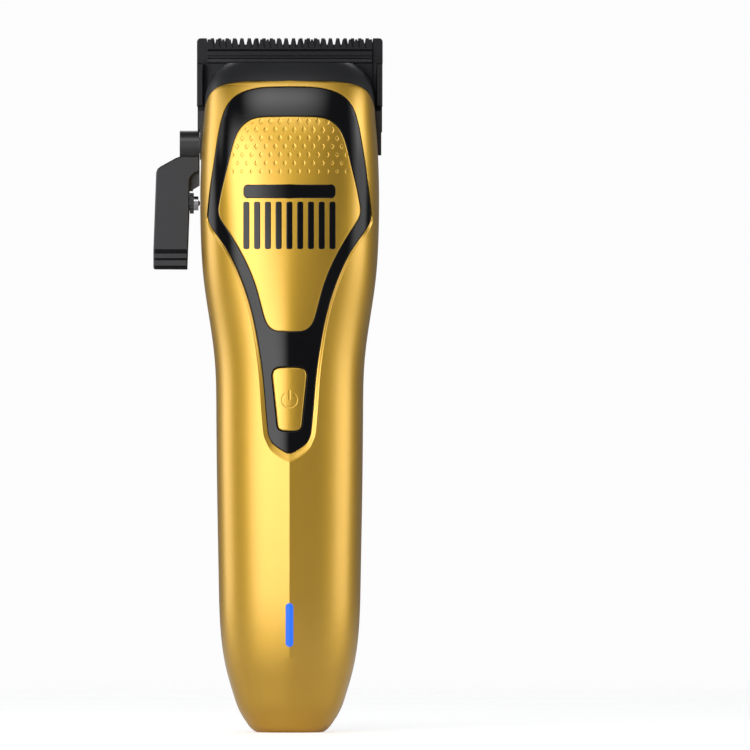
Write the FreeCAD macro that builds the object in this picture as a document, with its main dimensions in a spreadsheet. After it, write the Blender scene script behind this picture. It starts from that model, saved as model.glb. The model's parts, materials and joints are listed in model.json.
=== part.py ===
# A cordless hair clipper: a two-part casing with a black frame round a decorated face plate, a
# taper lever that shifts the fixed blade, and a motor whose eccentric drives the moving blade.
#
# Millimetres. +Z runs up the handle to the blades, the front face looks along -Y, and the taper
# lever is on the -X side. The origin is the middle of the flat foot at the handle's lower end.

import FreeCAD, Part
import Sketcher
import math
import os
import re
from FreeCAD import Placement, Rotation, Vector

os.makedirs("parts", exist_ok=True)
doc = FreeCAD.newDocument("hair_clipper")
sheet = doc.addObject("Spreadsheet::Sheet", "dims")
scratch = doc.addObject("Spreadsheet::Sheet", "scratch")

X_AXIS, Y_AXIS, Z_AXIS = Vector(1, 0, 0), Vector(0, 1, 0), Vector(0, 0, 1)

# Driving dimensions, one sheet row each. ------------------------------------------------------
DIMENSIONS = {
    # casing
    "wall": 2.4, "rear_shell_top": 142.0, "frame_top": 149.6, "nose_top": 167.2,
    "nose_base": 156.6, "nose_back": 5.4, "nose_wall": 1.8, "fit_gap": 0.1, "casing_reach": 40.0,
    "floor_height": 3.0, "floor_inset": 1.4,
    # frame, face plate and emblem on the front
    "bezel_step": 0.6, "bezel_thickness": 1.0, "plate_proud": 0.2, "emblem_depth": 0.3,
    # power button and light
    "button_low": 75.3, "button_high": 91.1, "button_half_low": 2.9, "button_half_high": 4.3,
    "button_round": 1.7, "button_proud": 0.25, "button_gap": 0.25, "button_flange": 0.5,
    "button_flange_drop": 0.85, "stem_radius": 1.5, "stem_end": 13.45,
    "lens_width": 1.9, "lens_low": 21.5, "lens_high": 32.4, "lens_proud": 0.05, "lens_back": 11.0,
    # foot and charging port
    "foot_half": 6.3, "foot_depth": 6.0, "port_width": 9.0, "port_depth": 3.3, "port_wall": 0.3,
    "port_low": 0.6, "port_high": 7.5, "contact_radius": 0.75, "contact_place": 5.45,
    "contact_recess": 0.1, "port_board_top": 8.7,
    # casing screws
    "upper_boss_x": 12.6, "upper_boss_z": 97.0, "lower_boss_x": 9.0, "lower_boss_z": 13.0,
    "boss_radius": 2.6, "upper_boss_front": 11.2, "lower_boss_front": 8.4,
    "screw_radius": 1.1, "screw_head_radius": 2.1,
    "screw_head_height": 1.4, "screw_head_back": 10.9, "lower_head_back": 9.2, "screw_tip": 7.0,
    # vents
    "vent_low": 107.0, "vent_pitch": 3.6, "vent_height": 1.4, "vent_width": 15.0, "vent_count": 6,
    # board, battery and chassis
    "board_half": 9.5, "board_front": 9.0, "board_back": 7.6, "board_low": 16.0, "board_high": 96.0,
    "chassis_half": 9.6, "chassis_front": 7.5, "chassis_back": 6.1, "chassis_low": 19.5,
    "cell_radius": 9.1, "cell_length": 65.0, "cell_low": 23.5, "cell_y": 3.4, "cell_wall": 1.8,
    # motor
    "motor_y": 1.0, "motor_radius": 12.0, "motor_low": 103.2, "endcap_top": 106.2,
    "motor_high": 132.5, "can_wall": 1.2, "shaft_radius": 1.2, "shaft_gap": 0.05,
    "bearing_radius": 3.5, "bearing_top": 135.0, "core_radius": 9.6, "magnet_inner": 10.1,
    "shaft_top": 140.4, "bracket_thickness": 1.8, "bracket_half": 16.5, "motor_screw_x": 8.0,
    # eccentric and yoke
    "cam_low": 137.4, "cam_high": 140.6, "cam_radius": 4.2, "throw": 0.9, "pin_radius": 1.0,
    "pin_top": 147.8, "roller_radius": 2.0, "roller_low": 143.9, "roller_high": 146.9,
    "yoke_half": 5.8, "yoke_slot_half": 4.05, "yoke_low": 143.6, "fork_high": 147.2,
    "yoke_front": 4.2, "yoke_back": 5.5, "yoke_high": 163.5, "fork_reach": 2.6,
    # blades
    "blade_half": 23.25, "toothed_half": 20.6, "blade_seat": 8.0, "fixed_thickness": 2.2,
    "fixed_low": 150.0, "fixed_tip": 173.6, "fixed_neck_half": 23.1, "fixed_neck_top": 167.25,
    "fixed_gaps": 23, "fixed_gap_reach": 20.3, "moving_gaps": 25, "moving_gap_reach": 19.0,
    "moving_low": 159.6, "moving_tip": 173.3, "blade_corner": 1.0,
    "tooth_root": 170.6, "blade_gap": 0.05, "blade_screw_x": 9.0, "blade_screw_z": 154.2,
    # blade bracket
    "rail_inner": 21.6, "rail_outer": 23.2, "rail_front": 0.4, "rail_low": 156.4,
    "rail_high": 167.2, "rail_edge": 0.25,
    "cross_low": 151.0, "cross_high": 157.7, "cross_half": 18.4,
    "cross_front": 5.8, "leg_inner": 13.6, "leg_outer": 15.8, "leg_front": 3.0, "leg_back": 7.6,
    "leg_low": 143.0, "post_x": 11.0, "post_z": 154.5, "post_front": 2.6, "wire_radius": 0.5,
    # head frame
    "frame_rail_inner": 20.6, "frame_rail_outer": 22.9, "frame_rail_back": 7.6,
    "frame_rail_top": 155.25, "right_rail_low": 144.2,
    "left_rail_low": 148.3, "left_rail_step": 150.7,
    # taper lever
    "lever_y": 3.0, "lever_z": 146.7, "hub_radius": 3.65, "hub_outer": 27.5, "hub_inner": 22.55,
    "arm_thickness": 4.2, "arm_edge": 0.3, "groove_depth": 0.8,
    "lever_bore": 2.0, "bush_gap": 0.04, "bush_radius": 2.9,
    "bush_outer": 22.45, "boss_outer": 22.2, "bush_inner": 17.6, "frame_boss_radius": 4.9,
    "crank_radius": 2.6,
    "crank_half_sweep": 15.0, "crank_pin_radius": 1.1, "crank_disc_outer": 17.3,
    "crank_disc_inner": 16.2, "crank_disc_radius": 3.8, "crank_pin_end": 13.2,
    "crank_slot_gap": 0.06, "stop_z": 132.2,
}
for row, (alias, value) in enumerate(DIMENSIONS.items(), start=1):
    sheet.set(f"A{row}", alias)
    sheet.set(f"B{row}", str(value))
    sheet.setAlias(f"B{row}", alias)

# The casing's stations: height, half width, front depth, back depth, height of the front ridge
# above the rounded face, and squareness of the front.
STATION_KEYS = ("height", "half", "front", "back", "ridge", "square")
STATIONS = [
    (0.0, 8.2, 8.2, 8.6, 0.2, 2.4), (0.5, 9.1, 9.0, 9.3, 0.3, 2.4), (2.0, 10.5, 10.1, 10.2, 0.6, 2.4),
    (5.0, 12.4, 11.7, 11.5, 1.0, 2.5), (9.5, 14.1, 13.2, 12.9, 1.6, 2.7),
    (15.5, 15.8, 14.9, 14.4, 2.2, 2.8), (23.0, 17.05, 16.1, 15.4, 2.7, 2.9),
    (38.0, 17.75, 16.8, 16.0, 3.0, 3.0), (60.0, 18.15, 17.0, 16.2, 3.0, 3.0),
    (80.0, 18.35, 17.0, 16.2, 3.0, 3.0), (93.0, 18.75, 17.1, 16.2, 2.8, 3.0),
    (103.0, 20.05, 17.3, 16.2, 2.4, 3.0), (113.0, 21.5, 17.6, 16.1, 1.9, 3.1),
    (125.0, 22.25, 17.8, 15.8, 1.3, 3.2), (138.0, 22.3, 17.5, 15.2, 0.8, 3.3),
    (148.0, 21.85, 16.3, 14.0, 0.5, 3.3), (155.0, 21.3, 14.4, 12.6, 0.3, 3.2),
    (160.0, 20.85, 12.4, 11.4, 0.2, 3.0), (164.0, 19.25, 10.0, 10.0, 0.1, 2.8),
    (167.2, 15.6, 7.4, 8.5, 0.05, 2.6),
]
BACK_SQUARE = 2.6
for number, station in enumerate(STATIONS):
    row = len(DIMENSIONS) + 2 + number
    for column, key, value in zip("ABCDEF", STATION_KEYS, station):
        sheet.set(f"{column}{row}", str(value))
        sheet.setAlias(f"{column}{row}", f"station_{number}_{key}")
doc.recompute()


def dim(alias):
    """A driving dimension's value, for shapes that part.py works out itself."""
    return float(sheet.get(alias))


def worked_out(text):
    """The present value of an expression over the sheet."""
    scratch.set("A1", "=" + cell(text))
    scratch.recompute()
    return float(scratch.get("A1"))


def cell(text):
    """An expression over the sheet: each bare alias becomes dims.alias."""
    def full(match):
        word = match.group(0)
        return f"dims.{word}" if word in DIMENSIONS else word
    return re.sub(r"(?<![.\w])[a-z]\w*", full, str(text))


# Building blocks. ------------------------------------------------------------------------------
TURNS = {
    "z": Rotation(),
    "x": Rotation(Y_AXIS, 90),
    "y": Rotation(X_AXIS, -90),
}


def place(item, at, axis="z"):
    """Puts an item at three expressions, with its own +Z turned to the named axis."""
    item.Placement = Placement(Vector(), TURNS[axis])
    for letter, text in zip("xyz", at):
        item.setExpression(f"Placement.Base.{letter}", cell(text))
    return item


def cylinder(name, radius, height, at, axis="z"):
    item = doc.addObject("Part::Cylinder", name)
    item.setExpression("Radius", cell(radius))
    item.setExpression("Height", cell(height))
    return place(item, at, axis)


def block(name, low, high):
    """A box between two corners given as expressions."""
    item = doc.addObject("Part::Box", name)
    for prop, a, b in zip(("Length", "Width", "Height"), low, high):
        item.setExpression(prop, f"({cell(b)}) - ({cell(a)})")
    return place(item, low)


def cut(name, base, *tools):
    item = doc.addObject("Part::Cut", name)
    item.Base = base
    item.Tool = tools[0] if len(tools) == 1 else fuse(name + "_tools", *tools)
    return item


def fuse(name, *shapes):
    item = doc.addObject("Part::MultiFuse", name)
    item.Shapes = list(shapes)
    return item


def common(name, *shapes):
    item = doc.addObject("Part::MultiCommon", name)
    item.Shapes = list(shapes)
    return item


def group(name, *shapes):
    """Separate solids in one sub-part."""
    item = doc.addObject("Part::Compound", name)
    item.Links = list(shapes)
    return item


def feature(name, shape):
    item = doc.addObject("Part::Feature", name)
    item.Shape = shape
    return item


def copy_moved(name, source, y_shift):
    """The same shape moved along Y, for a surface that lies a set depth under another."""
    item = doc.addObject("Part::Compound", name)
    item.Links = [source]
    item.setExpression("Placement.Base.y", cell(y_shift))
    return item


def prism(name, outline, grow=0.0):
    """An outline in the XZ plane carried through the casing's front, from y=-reach to y=0."""
    face = Part.Face(outline)
    if grow:
        face = face.makeOffset2D(grow)
    flat = feature(name + "_face", face)
    item = doc.addObject("Part::Extrusion", name)
    item.Base = flat
    item.DirMode = "Custom"
    item.Dir = Vector(0, -1, 0)
    item.setExpression("LengthFwd", "dims.casing_reach")
    item.Solid = True
    return item


def tube_path(points, radius, share=0.45):
    """A round tube along straight runs joined by tangent arcs."""
    edges, start = [], points[0]
    for before, corner, after in zip(points, points[1:], points[2:]):
        back, on = (before - corner), (after - corner)
        set_back = share * min(back.Length, on.Length)
        first = corner + back.normalize() * set_back
        last = corner + on.normalize() * set_back
        turn = math.pi - back.getAngle(on)
        radius_here = set_back / math.tan(turn / 2)
        middle_way = (back + on).normalize()
        middle = corner + middle_way * (radius_here / math.cos(turn / 2) - radius_here)
        edges.append(Part.LineSegment(start, first).toShape())
        edges.append(Part.Arc(first, middle, last).toShape())
        start = last
    edges.append(Part.LineSegment(start, points[-1]).toShape())
    spine = Part.Wire(edges)
    direction = points[1] - points[0]
    profile = Part.Wire([Part.Circle(points[0], direction, radius).toShape()])
    return spine.makePipeShell([profile], True, False)


# Sketcher and PartDesign helpers. ---------------------------------------------------------------
def new_body(name):
    return doc.addObject("PartDesign::Body", name)


def new_sketch(body, role, name, lift="0"):
    """A sketch on one of the body's own origin planes, lifted along the plane's normal."""
    sketch = body.newObject("Sketcher::SketchObject", name)
    plane = next(f for f in body.Origin.OriginFeatures if f.Role == role)
    sketch.AttachmentSupport = [(plane, "")]
    sketch.MapMode = "FlatFace"
    sketch.setExpression("AttachmentOffset.Base.z", cell(lift))
    return sketch


def draw_polygon(sketch, corners):
    """A closed polygon whose every corner is placed by expressions over the sheet."""
    start = sketch.GeometryCount
    values = [Vector(worked_out(across), worked_out(up), 0) for across, up in corners]
    count = len(values)
    for number in range(count):
        sketch.addGeometry(Part.LineSegment(values[number], values[(number + 1) % count]), False)
    for number in range(count):
        following = start + (number + 1) % count
        sketch.addConstraint(Sketcher.Constraint("Coincident", start + number, 2, following, 1))
    for number, (across, up) in enumerate(corners):
        for kind, text, value in (("DistanceX", across, values[number].x),
                                  ("DistanceY", up, values[number].y)):
            index = sketch.addConstraint(
                Sketcher.Constraint(kind, -1, 1, start + number, 1, value))
            sketch.setExpression(f"Constraints[{index}]", cell(text))


def pad(body, sketch, name, length, both_ways=False):
    item = body.newObject("PartDesign::Pad", name)
    item.Profile = sketch
    item.setExpression("Length", cell(length))
    if both_ways:
        item.SideType = "Symmetric"
    return item


def pocket(body, sketch, name, length, both_ways=False):
    item = body.newObject("PartDesign::Pocket", name)
    item.Profile = sketch
    item.setExpression("Length", cell(length))
    if both_ways:
        item.SideType = "Symmetric"
    return item


def row_pattern(body, source, sketch, name, length, count):
    """Repeats a feature along the sketch's own horizontal axis."""
    item = body.newObject("PartDesign::LinearPattern", name)
    item.Originals = [source]
    item.Direction = (sketch, ["H_Axis"])
    item.setExpression("Length", cell(length))
    item.setExpression("Occurrences", cell(count))
    body.Tip = item
    return item


# Bodies drawn in sketches: both blades and the lever arm. -----------------------------------------
def tooth_gaps(body, tag, count, reach, tip, depth_low, floor_half, mouth_half):
    """V-shaped gaps between the teeth: the outermost two lie at -reach and +reach."""
    middle = f"(-{reach})"
    gap_sketch = new_sketch(body, "XZ_Plane", f"{tag}_gap")
    draw_polygon(gap_sketch, [
        (f"{middle} - {floor_half}", depth_low), (f"{middle} - {mouth_half}", f"{tip} + 0.4"),
        (f"{middle} + {mouth_half}", f"{tip} + 0.4"), (f"{middle} + {floor_half}", depth_low)])
    gap_pocket = pocket(body, gap_sketch, f"{tag}_gap_pocket", "60", both_ways=True)
    doc.recompute()
    return row_pattern(body, gap_pocket, gap_sketch, f"{tag}_gaps", f"2 * {reach}", count)


moving = new_body("moving_blade_body")
profile = new_sketch(moving, "YZ_Plane", "moving_profile")
draw_polygon(profile, [
    ("blade_seat - blade_gap", "moving_low"), ("6.2", "moving_low"), ("6.2", "167.2"),
    ("5.8", "167.45"), ("5.8", "168.35"), ("6.5", "168.6"), ("6.5", "169.05"), ("6.0", "169.2"),
    ("6.0", "170.25"), ("6.9", "tooth_root + 0.2"), ("7.2", "moving_tip - 0.2"),
    ("7.6", "moving_tip"), ("blade_seat - blade_gap", "moving_tip - 0.1")])
pad(moving, profile, "moving_pad", "2 * toothed_half", both_ways=True)
tooth_gaps(moving, "moving", "moving_gaps", "moving_gap_reach", "moving_tip", "tooth_root + 0.5",
           "0.1", "0.62")

fixed = new_body("fixed_blade_body")
fixed_profile = new_sketch(fixed, "YZ_Plane", "fixed_profile")
draw_polygon(fixed_profile, [
    ("blade_seat", "fixed_low"), ("blade_seat + fixed_thickness", "fixed_low"),
    ("blade_seat + fixed_thickness", "165.5"), ("blade_seat + 0.75", "fixed_tip - 0.25"),
    ("blade_seat + 0.4", "fixed_tip"), ("blade_seat", "fixed_tip - 0.15")])
pad(fixed, fixed_profile, "fixed_pad", "2 * blade_half", both_ways=True)
tooth_gaps(fixed, "fixed", "fixed_gaps", "fixed_gap_reach", "fixed_tip", "tooth_root + 1.4",
           "0.2", "0.62")

lever = new_body("lever_body")
arm_sketch = new_sketch(lever, "XZ_Plane", "arm_outline")
draw_polygon(arm_sketch, [
    ("-hub_inner", "lever_z"), ("-hub_outer + 0.1", "lever_z"), ("-hub_outer + 0.1", "143.9"),
    ("-28.5", "143.5"), ("-32.3", "141.4"), ("-33.05", "140.8"), ("-33.4", "139.9"),
    ("-34.1", "120.3"), ("-34.1", "116.0"), ("-33.8", "115.65"), ("-25.6", "115.6"),
    ("-25.4", "120.6"), ("-25.1", "129.1"), ("-25.0", "137.9"), ("-24.5", "139.0"),
    ("-23.7", "139.7"), ("-hub_inner", "140.0")])
arm_sketch.setExpression("AttachmentOffset.Base.z", cell("-lever_y"))
arm_pad = pad(lever, arm_sketch, "arm_pad", "arm_thickness", both_ways=True)
doc.recompute()
arm_chamfer = lever.newObject("PartDesign::Chamfer", "arm_chamfer")
arm_chamfer.Base = (arm_pad, [f"Edge{number}" for number, edge in enumerate(arm_pad.Shape.Edges, 1)
                              if abs(edge.Vertexes[0].Y - edge.Vertexes[-1].Y) < 0.01])
arm_chamfer.setExpression("Size", "dims.arm_edge")
web_sketch = new_sketch(lever, "XZ_Plane", "web_outline")
draw_polygon(web_sketch, [
    ("-25.5", "141.5"), ("-hub_inner", "141.5"), ("-hub_inner", "136.6"), ("-24.2", "135.6"),
    ("-24.2", "135.2"), ("-25.5", "135.2")])
web_sketch.setExpression("AttachmentOffset.Base.z", cell("-lever_y - arm_thickness / 2"))
pad(lever, web_sketch, "web_pad", "1.5")
doc.recompute()

# Casing form. -----------------------------------------------------------------------------------
def quarter(half, depth, ridge, square):
    """Points of a quarter section, from the middle of the face to the side, as (x, depth)."""
    shares = [0, 0.15, 0.3, 0.45, 0.6, 0.72, 0.82]
    last = (1 - shares[-1] ** square) ** (1 / square)
    for part in (0.85, 0.66, 0.45, 0.22, 0):
        shares.append((1 - (last * part) ** square) ** (1 / square))
    points = []
    for share in shares:
        round_part = (1 - min(share, 1) ** square) ** (1 / square)
        points.append((share * half, (depth - ridge) * round_part + ridge * (1 - share)))
    return points


def chord_marks(points):
    """Distances along a point row, as a share of its length."""
    marks = [0.0]
    for (x1, d1), (x2, d2) in zip(points, points[1:]):
        marks.append(marks[-1] + math.hypot(x2 - x1, d2 - d1))
    return [mark / marks[-1] for mark in marks]


# One set of marks serves every section, which keeps the lofted surfaces light.
FACE_MARKS = chord_marks(quarter(18, 17, 3, 3))
REAR_MARKS = chord_marks(quarter(18, 16, 0, BACK_SQUARE))


def spline(points, marks, first_way, last_way):
    curve = Part.BSplineCurve()
    curve.interpolate(Points=points, Parameters=marks, InitialTangent=first_way,
                      FinalTangent=last_way)
    return curve.toShape()


def section(height, half, front, back, ridge, square):
    """One closed section: two front quarters that meet in the ridge, and two back quarters."""
    face = quarter(half, front, ridge, square)
    rear = quarter(half, back, 0, BACK_SQUARE)
    slope = ridge / half
    face_back, rear_back = ([1 - mark for mark in reversed(marks)]
                            for marks in (FACE_MARKS, REAR_MARKS))
    right_face = [Vector(x, -y, height) for x, y in face]
    left_face = [Vector(-x, -y, height) for x, y in reversed(face)]
    right_rear = [Vector(x, y, height) for x, y in reversed(rear)]
    left_rear = [Vector(-x, y, height) for x, y in rear]
    return Part.Wire([
        spline(right_face, FACE_MARKS, Vector(1, slope, 0), Y_AXIS),
        spline(right_rear, rear_back, Y_AXIS, -X_AXIS),
        spline(left_rear, REAR_MARKS, -X_AXIS, -Y_AXIS),
        spline(left_face, face_back, -Y_AXIS, Vector(1, -slope, 0)),
    ])


def read_stations():
    return [[dim(f"station_{number}_{key}") for key in STATION_KEYS]
            for number in range(len(STATIONS))]


def casing_form(inset):
    """The casing's solid form, or the same form drawn in by the wall for its hollow."""
    rows = read_stations()
    if inset:
        first = next(n for n, row in enumerate(rows) if row[0] > dim("floor_height"))
        rows = [[z, half - inset, front - inset, back - inset, ridge, square]
                for z, half, front, back, ridge, square in rows[first:]]
        z, half, front, back, ridge, square = rows[0]
        drop = dim("floor_inset")
        rows.insert(0, [dim("floor_height"), half - drop, front - drop, back - drop, ridge, square])
    return Part.makeLoft([section(*row) for row in rows], True, False, False, 5)


outer = feature("casing_outer", casing_form(0))
hollow = feature("casing_hollow", casing_form(dim("wall")))
front_side = block("front_side", ("-casing_reach", "-casing_reach", "-1"),
                   ("casing_reach", "0", "nose_top + 1"))


# Outlines on the front, each given as its right half from the top down. --------------------------
def mirrored_outline(runs):
    """A closed wire from runs of right-half points; each run is one smooth curve or a line."""
    edges = []
    for sign in (1, -1):
        for run in runs:
            points = [Vector(sign * x, 0, z) for x, z in run]
            if len(points) == 2:
                edges.append(Part.LineSegment(*points).toShape())
                continue
            curve = Part.BSplineCurve()
            curve.interpolate(points)
            edges.append(curve.toShape())
    return Part.Wire(Part.__sortEdges__(edges))


BEZEL_RUNS = [
    [(0, 161.25), (5.5, 161.15), (10.5, 160.3), (13.75, 158.7), (15.7, 156.4), (17.0, 153.0),
     (18.2, 147.0), (19.4, 139.0), (20.3, 131.5), (20.5, 129.3)],
    [(20.5, 129.3), (20.3, 127.8), (19.2, 125.5)],
    [(19.2, 125.5), (15.6, 120.3), (12.1, 113.0), (9.6, 105.3), (7.9, 97.0), (6.75, 89.0),
     (6.05, 81.0), (5.6, 76.0)],
    [(5.6, 76.0), (5.15, 73.7), (4.35, 72.2)],
    [(4.35, 72.2), (2.85, 71.0), (1.3, 70.05), (0.4, 69.65), (0, 69.6)],
]
PLATE_RUNS = [
    [(0, 153.7), (6.0, 153.6), (9.4, 153.0), (12.2, 150.8), (14.0, 146.8), (15.5, 140.8),
     (16.9, 135.0), (17.6, 131.3)],
    [(17.6, 131.3), (17.65, 129.8), (17.1, 128.0)],
    [(17.1, 128.0), (13.8, 122.9), (10.6, 117.0), (8.25, 111.0), (6.85, 105.8), (6.25, 103.6)],
    [(6.25, 103.6), (5.4, 101.75), (4.15, 100.6), (2.7, 100.15)],
    [(2.7, 100.15), (0, 100.1)],
]
ARCH_RUNS = [
    [(0, 162.7), (8.0, 162.65), (14.0, 162.25), (17.8, 161.2), (19.7, 159.7), (20.7, 157.8),
     (21.5, 154.8)],
    [(21.5, 154.8), (21.9, 152.6), (23.5, 150.0)],
    [(23.5, 150.0), (23.5, -1.0)],
    [(23.5, -1.0), (0, -1.0)],
]


def rounded_quad(half_low, half_high, low, high, radius):
    """A wire for a symmetric four-sided outline with rounded corners."""
    corners = [Vector(-half_low, 0, low), Vector(half_low, 0, low),
               Vector(half_high, 0, high), Vector(-half_high, 0, high)]
    wire = Part.makePolygon(corners + corners[:1])
    face = Part.Face(wire).makeOffset2D(-radius).makeOffset2D(radius)
    return face.OuterWire


def stadium_wire(half_across, half_along, centre, across, along):
    """A wire with straight sides and full round ends, its long way along the second direction."""
    straight = half_along - half_across
    a, b = centre + along * straight, centre - along * straight
    return Part.Wire([
        Part.LineSegment(b + across * half_across, a + across * half_across).toShape(),
        Part.Arc(a + across * half_across, a + along * half_across, a - across * half_across).toShape(),
        Part.LineSegment(a - across * half_across, b - across * half_across).toShape(),
        Part.Arc(b - across * half_across, b - along * half_across, b + across * half_across).toShape(),
    ])


gap = dim("fit_gap")
bezel_outline = mirrored_outline(BEZEL_RUNS)
plate_outline = mirrored_outline(PLATE_RUNS)
button_outline = rounded_quad(dim("button_half_low"), dim("button_half_high"),
                              dim("button_low"), dim("button_high"), dim("button_round"))
lens_middle = Vector(0, 0, (dim("lens_low") + dim("lens_high")) / 2)
lens_outline = stadium_wire(dim("lens_width") / 2, (dim("lens_high") - dim("lens_low")) / 2,
                            lens_middle, X_AXIS, Z_AXIS)

under_step = copy_moved("under_step", outer, "bezel_step")
pocket_floor = copy_moved("pocket_floor", outer, "bezel_step + bezel_thickness")
plate_top = copy_moved("plate_top", outer, "bezel_step - plate_proud")
emblem_floor = copy_moved("emblem_floor", outer, "bezel_step - plate_proud + emblem_depth")
button_top = copy_moved("button_top", outer, "bezel_step - button_proud")
flange_top = copy_moved("flange_top", outer, "bezel_step + bezel_thickness + fit_gap")
flange_floor = copy_moved("flange_floor", outer,
                          "bezel_step + bezel_thickness + button_flange_drop")
lens_top = copy_moved("lens_top", outer, "-lens_proud")

# Frame round the face plate.
bezel_slab = cut("bezel_slab", common("bezel_blank", prism("bezel_prism", bezel_outline),
                                      under_step), pocket_floor)
bezel = cut("bezel", bezel_slab, prism("plate_hole", plate_outline),
            prism("button_hole", button_outline, dim("button_gap")))

# Face plate with its inlaid emblem: a plain comb.
COMB_HALF, COMB_LOW, COMB_HIGH = 11.5, 133.2, 136.8
COMB_TEETH, TOOTH_WIDTH, TEETH_LOW, TEETH_GAP = 9, 1.55, 120.6, 0.75


def comb_wires():
    """The outlines of a plain comb: its back, and a row of separate teeth below it."""
    yield rounded_quad(COMB_HALF, COMB_HALF, COMB_LOW, COMB_HIGH, 1.2)
    step = (2 * COMB_HALF - TOOTH_WIDTH) / (COMB_TEETH - 1)
    for number in range(COMB_TEETH):
        half = TOOTH_WIDTH / 2
        wire = rounded_quad(half, half, TEETH_LOW, COMB_LOW - TEETH_GAP, 0.45)
        wire.translate(Vector(number * step - COMB_HALF + half, 0, 0))
        yield wire


comb_prisms = [prism(f"comb_{number}", wire) for number, wire in enumerate(comb_wires())]
comb = group("comb_prism", *comb_prisms)
plate_slab = cut("plate_slab", common("plate_blank", prism("plate_prism", plate_outline),
                                      plate_top), pocket_floor)
emblem = cut("emblem", common("emblem_blank", comb, plate_top), emblem_floor)
face_plate = cut("face_plate", plate_slab, cut("emblem_pocket", comb, emblem_floor))

# Power button: cap through the bezel, flange behind it, stem to the switch.
button_cap = cut("button_cap", common("button_blank", prism("button_prism", button_outline),
                                      button_top), flange_floor)
button_skirt = cut("button_skirt",
                   common("skirt_blank", prism("skirt_prism", button_outline,
                                               dim("button_flange")), flange_top), flange_floor)
button_stem = cylinder("button_stem", "stem_radius", "15.2 - stem_end",
                       ("0", "-15.2", "(button_low + button_high) / 2"), "y")
power_button = fuse("power_button", button_cap, button_skirt, button_stem)

# Light guide of the charge light.
lens_cutter = block("lens_cutter", ("-5", "-lens_back", "lens_low - 5"), ("5", "0", "lens_high + 5"))
led_lens = cut("led_lens", common("lens_blank", prism("lens_prism", lens_outline), lens_top),
               lens_cutter)


# Casing screws and the bosses that take them. ----------------------------------------------------
SCREW_PLACES = [
    ("upper_right", "upper_boss_x", "upper_boss_z", "upper_boss_front", "screw_head_back"),
    ("upper_left", "-upper_boss_x", "upper_boss_z", "upper_boss_front", "screw_head_back"),
    ("lower_right", "lower_boss_x", "lower_boss_z", "lower_boss_front", "lower_head_back"),
    ("lower_left", "-lower_boss_x", "lower_boss_z", "lower_boss_front", "lower_head_back"),
]
front_bosses, rear_bosses, screw_solids, shank_holes, head_holes = [], [], [], [], []
for name, x, z, front_y, head_y in SCREW_PLACES:
    front_bosses.append(cylinder(f"front_boss_{name}", "boss_radius", front_y,
                                 (x, f"-{front_y}", z), "y"))
    rear_bosses.append(cylinder(f"rear_boss_{name}", "boss_radius", f"{head_y} + 1",
                                (x, "0", z), "y"))
    shank = cylinder(f"shank_{name}", "screw_radius", f"screw_tip + {head_y}",
                     (x, "-screw_tip", z), "y")
    head = cylinder(f"head_{name}", "screw_head_radius", "screw_head_height", (x, head_y, z), "y")
    socket = cylinder(f"socket_{name}", "screw_radius", "2", (x, f"{head_y} + 0.5", z), "y")
    screw_solids.append(cut(f"screw_{name}", fuse(f"screw_body_{name}", shank, head), socket))
    shank_holes.append(cylinder(f"shank_hole_{name}", "screw_radius", f"screw_tip + {head_y}",
                                (x, "-screw_tip", z), "y"))
    head_holes.append(cylinder(f"head_hole_{name}", "screw_head_radius + 0.15", "10",
                               (x, head_y, z), "y"))
casing_screws = group("casing_screws", *screw_solids)

# Foot insert, charging socket and contacts.
foot_wire = stadium_wire(dim("foot_depth") / 2, dim("foot_half"), Vector(), Y_AXIS, X_AXIS)
port_wire = stadium_wire(dim("port_depth") / 2, dim("port_width") / 2, Vector(), Y_AXIS, X_AXIS)
foot_blank = feature("foot_blank", Part.Face(foot_wire).extrude(Z_AXIS * dim("floor_height")))
foot_hole = feature("foot_hole", Part.Face(foot_wire).extrude(Z_AXIS * dim("floor_height") * 2))
foot_hole.Placement = Placement(Vector(0, 0, -1), Rotation())
port_hole = feature("port_hole", Part.Face(port_wire).extrude(Z_AXIS * dim("port_high")))
contact_holes = [cylinder(f"contact_hole_{side}", "contact_radius", "floor_height + 2",
                          (f"{sign}contact_place", "0", "-1")) for side, sign in
                 (("right", ""), ("left", "-"))]
dock_plate = cut("dock_plate", foot_blank, port_hole, *contact_holes)
charge_contacts = group("charge_contacts", *[
    cylinder(f"contact_{side}", "contact_radius", "port_high - contact_recess",
             (f"{sign}contact_place", "0", "contact_recess"))
    for side, sign in (("right", ""), ("left", "-"))])
socket_face = Part.Face(port_wire)
socket_inner = socket_face.makeOffset2D(-dim("port_wall"))
socket_depth = dim("port_high") - dim("port_low")
socket_shell = feature("socket_shell", socket_face.extrude(Z_AXIS * socket_depth)
                       .cut(socket_inner.extrude(Z_AXIS * (socket_depth - 1))))
socket_shell.Placement = Placement(Vector(0, 0, dim("port_low")), Rotation())
socket_tongue = block("socket_tongue", ("-3.3", "-0.35", "port_low + 1"),
                      ("3.3", "0.35", "port_high - 0.5"))
usb_socket = fuse("usb_socket", socket_shell, socket_tongue)
port_board = block("port_board", ("-7", "-3.8", "port_high"), ("7", "3.8", "port_board_top"))

# Front shell: form, hollow, bezel pocket, openings and bosses.
arch_prism = prism("arch_prism", mirrored_outline(ARCH_RUNS))
bezel_pocket = cut("bezel_pocket", prism("bezel_pocket_prism", bezel_outline), pocket_floor)
front_blank = common("front_blank", outer, front_side, arch_prism)
front_hollowed = cut("front_hollowed", front_blank, hollow)
front_bossed = fuse("front_bossed", front_hollowed, *front_bosses)
front_shell = cut("front_shell", front_bossed, bezel_pocket,
                  prism("button_window", button_outline, dim("button_flange") + gap),
                  prism("lens_slot", lens_outline, gap / 2), foot_hole, *shank_holes)

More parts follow.
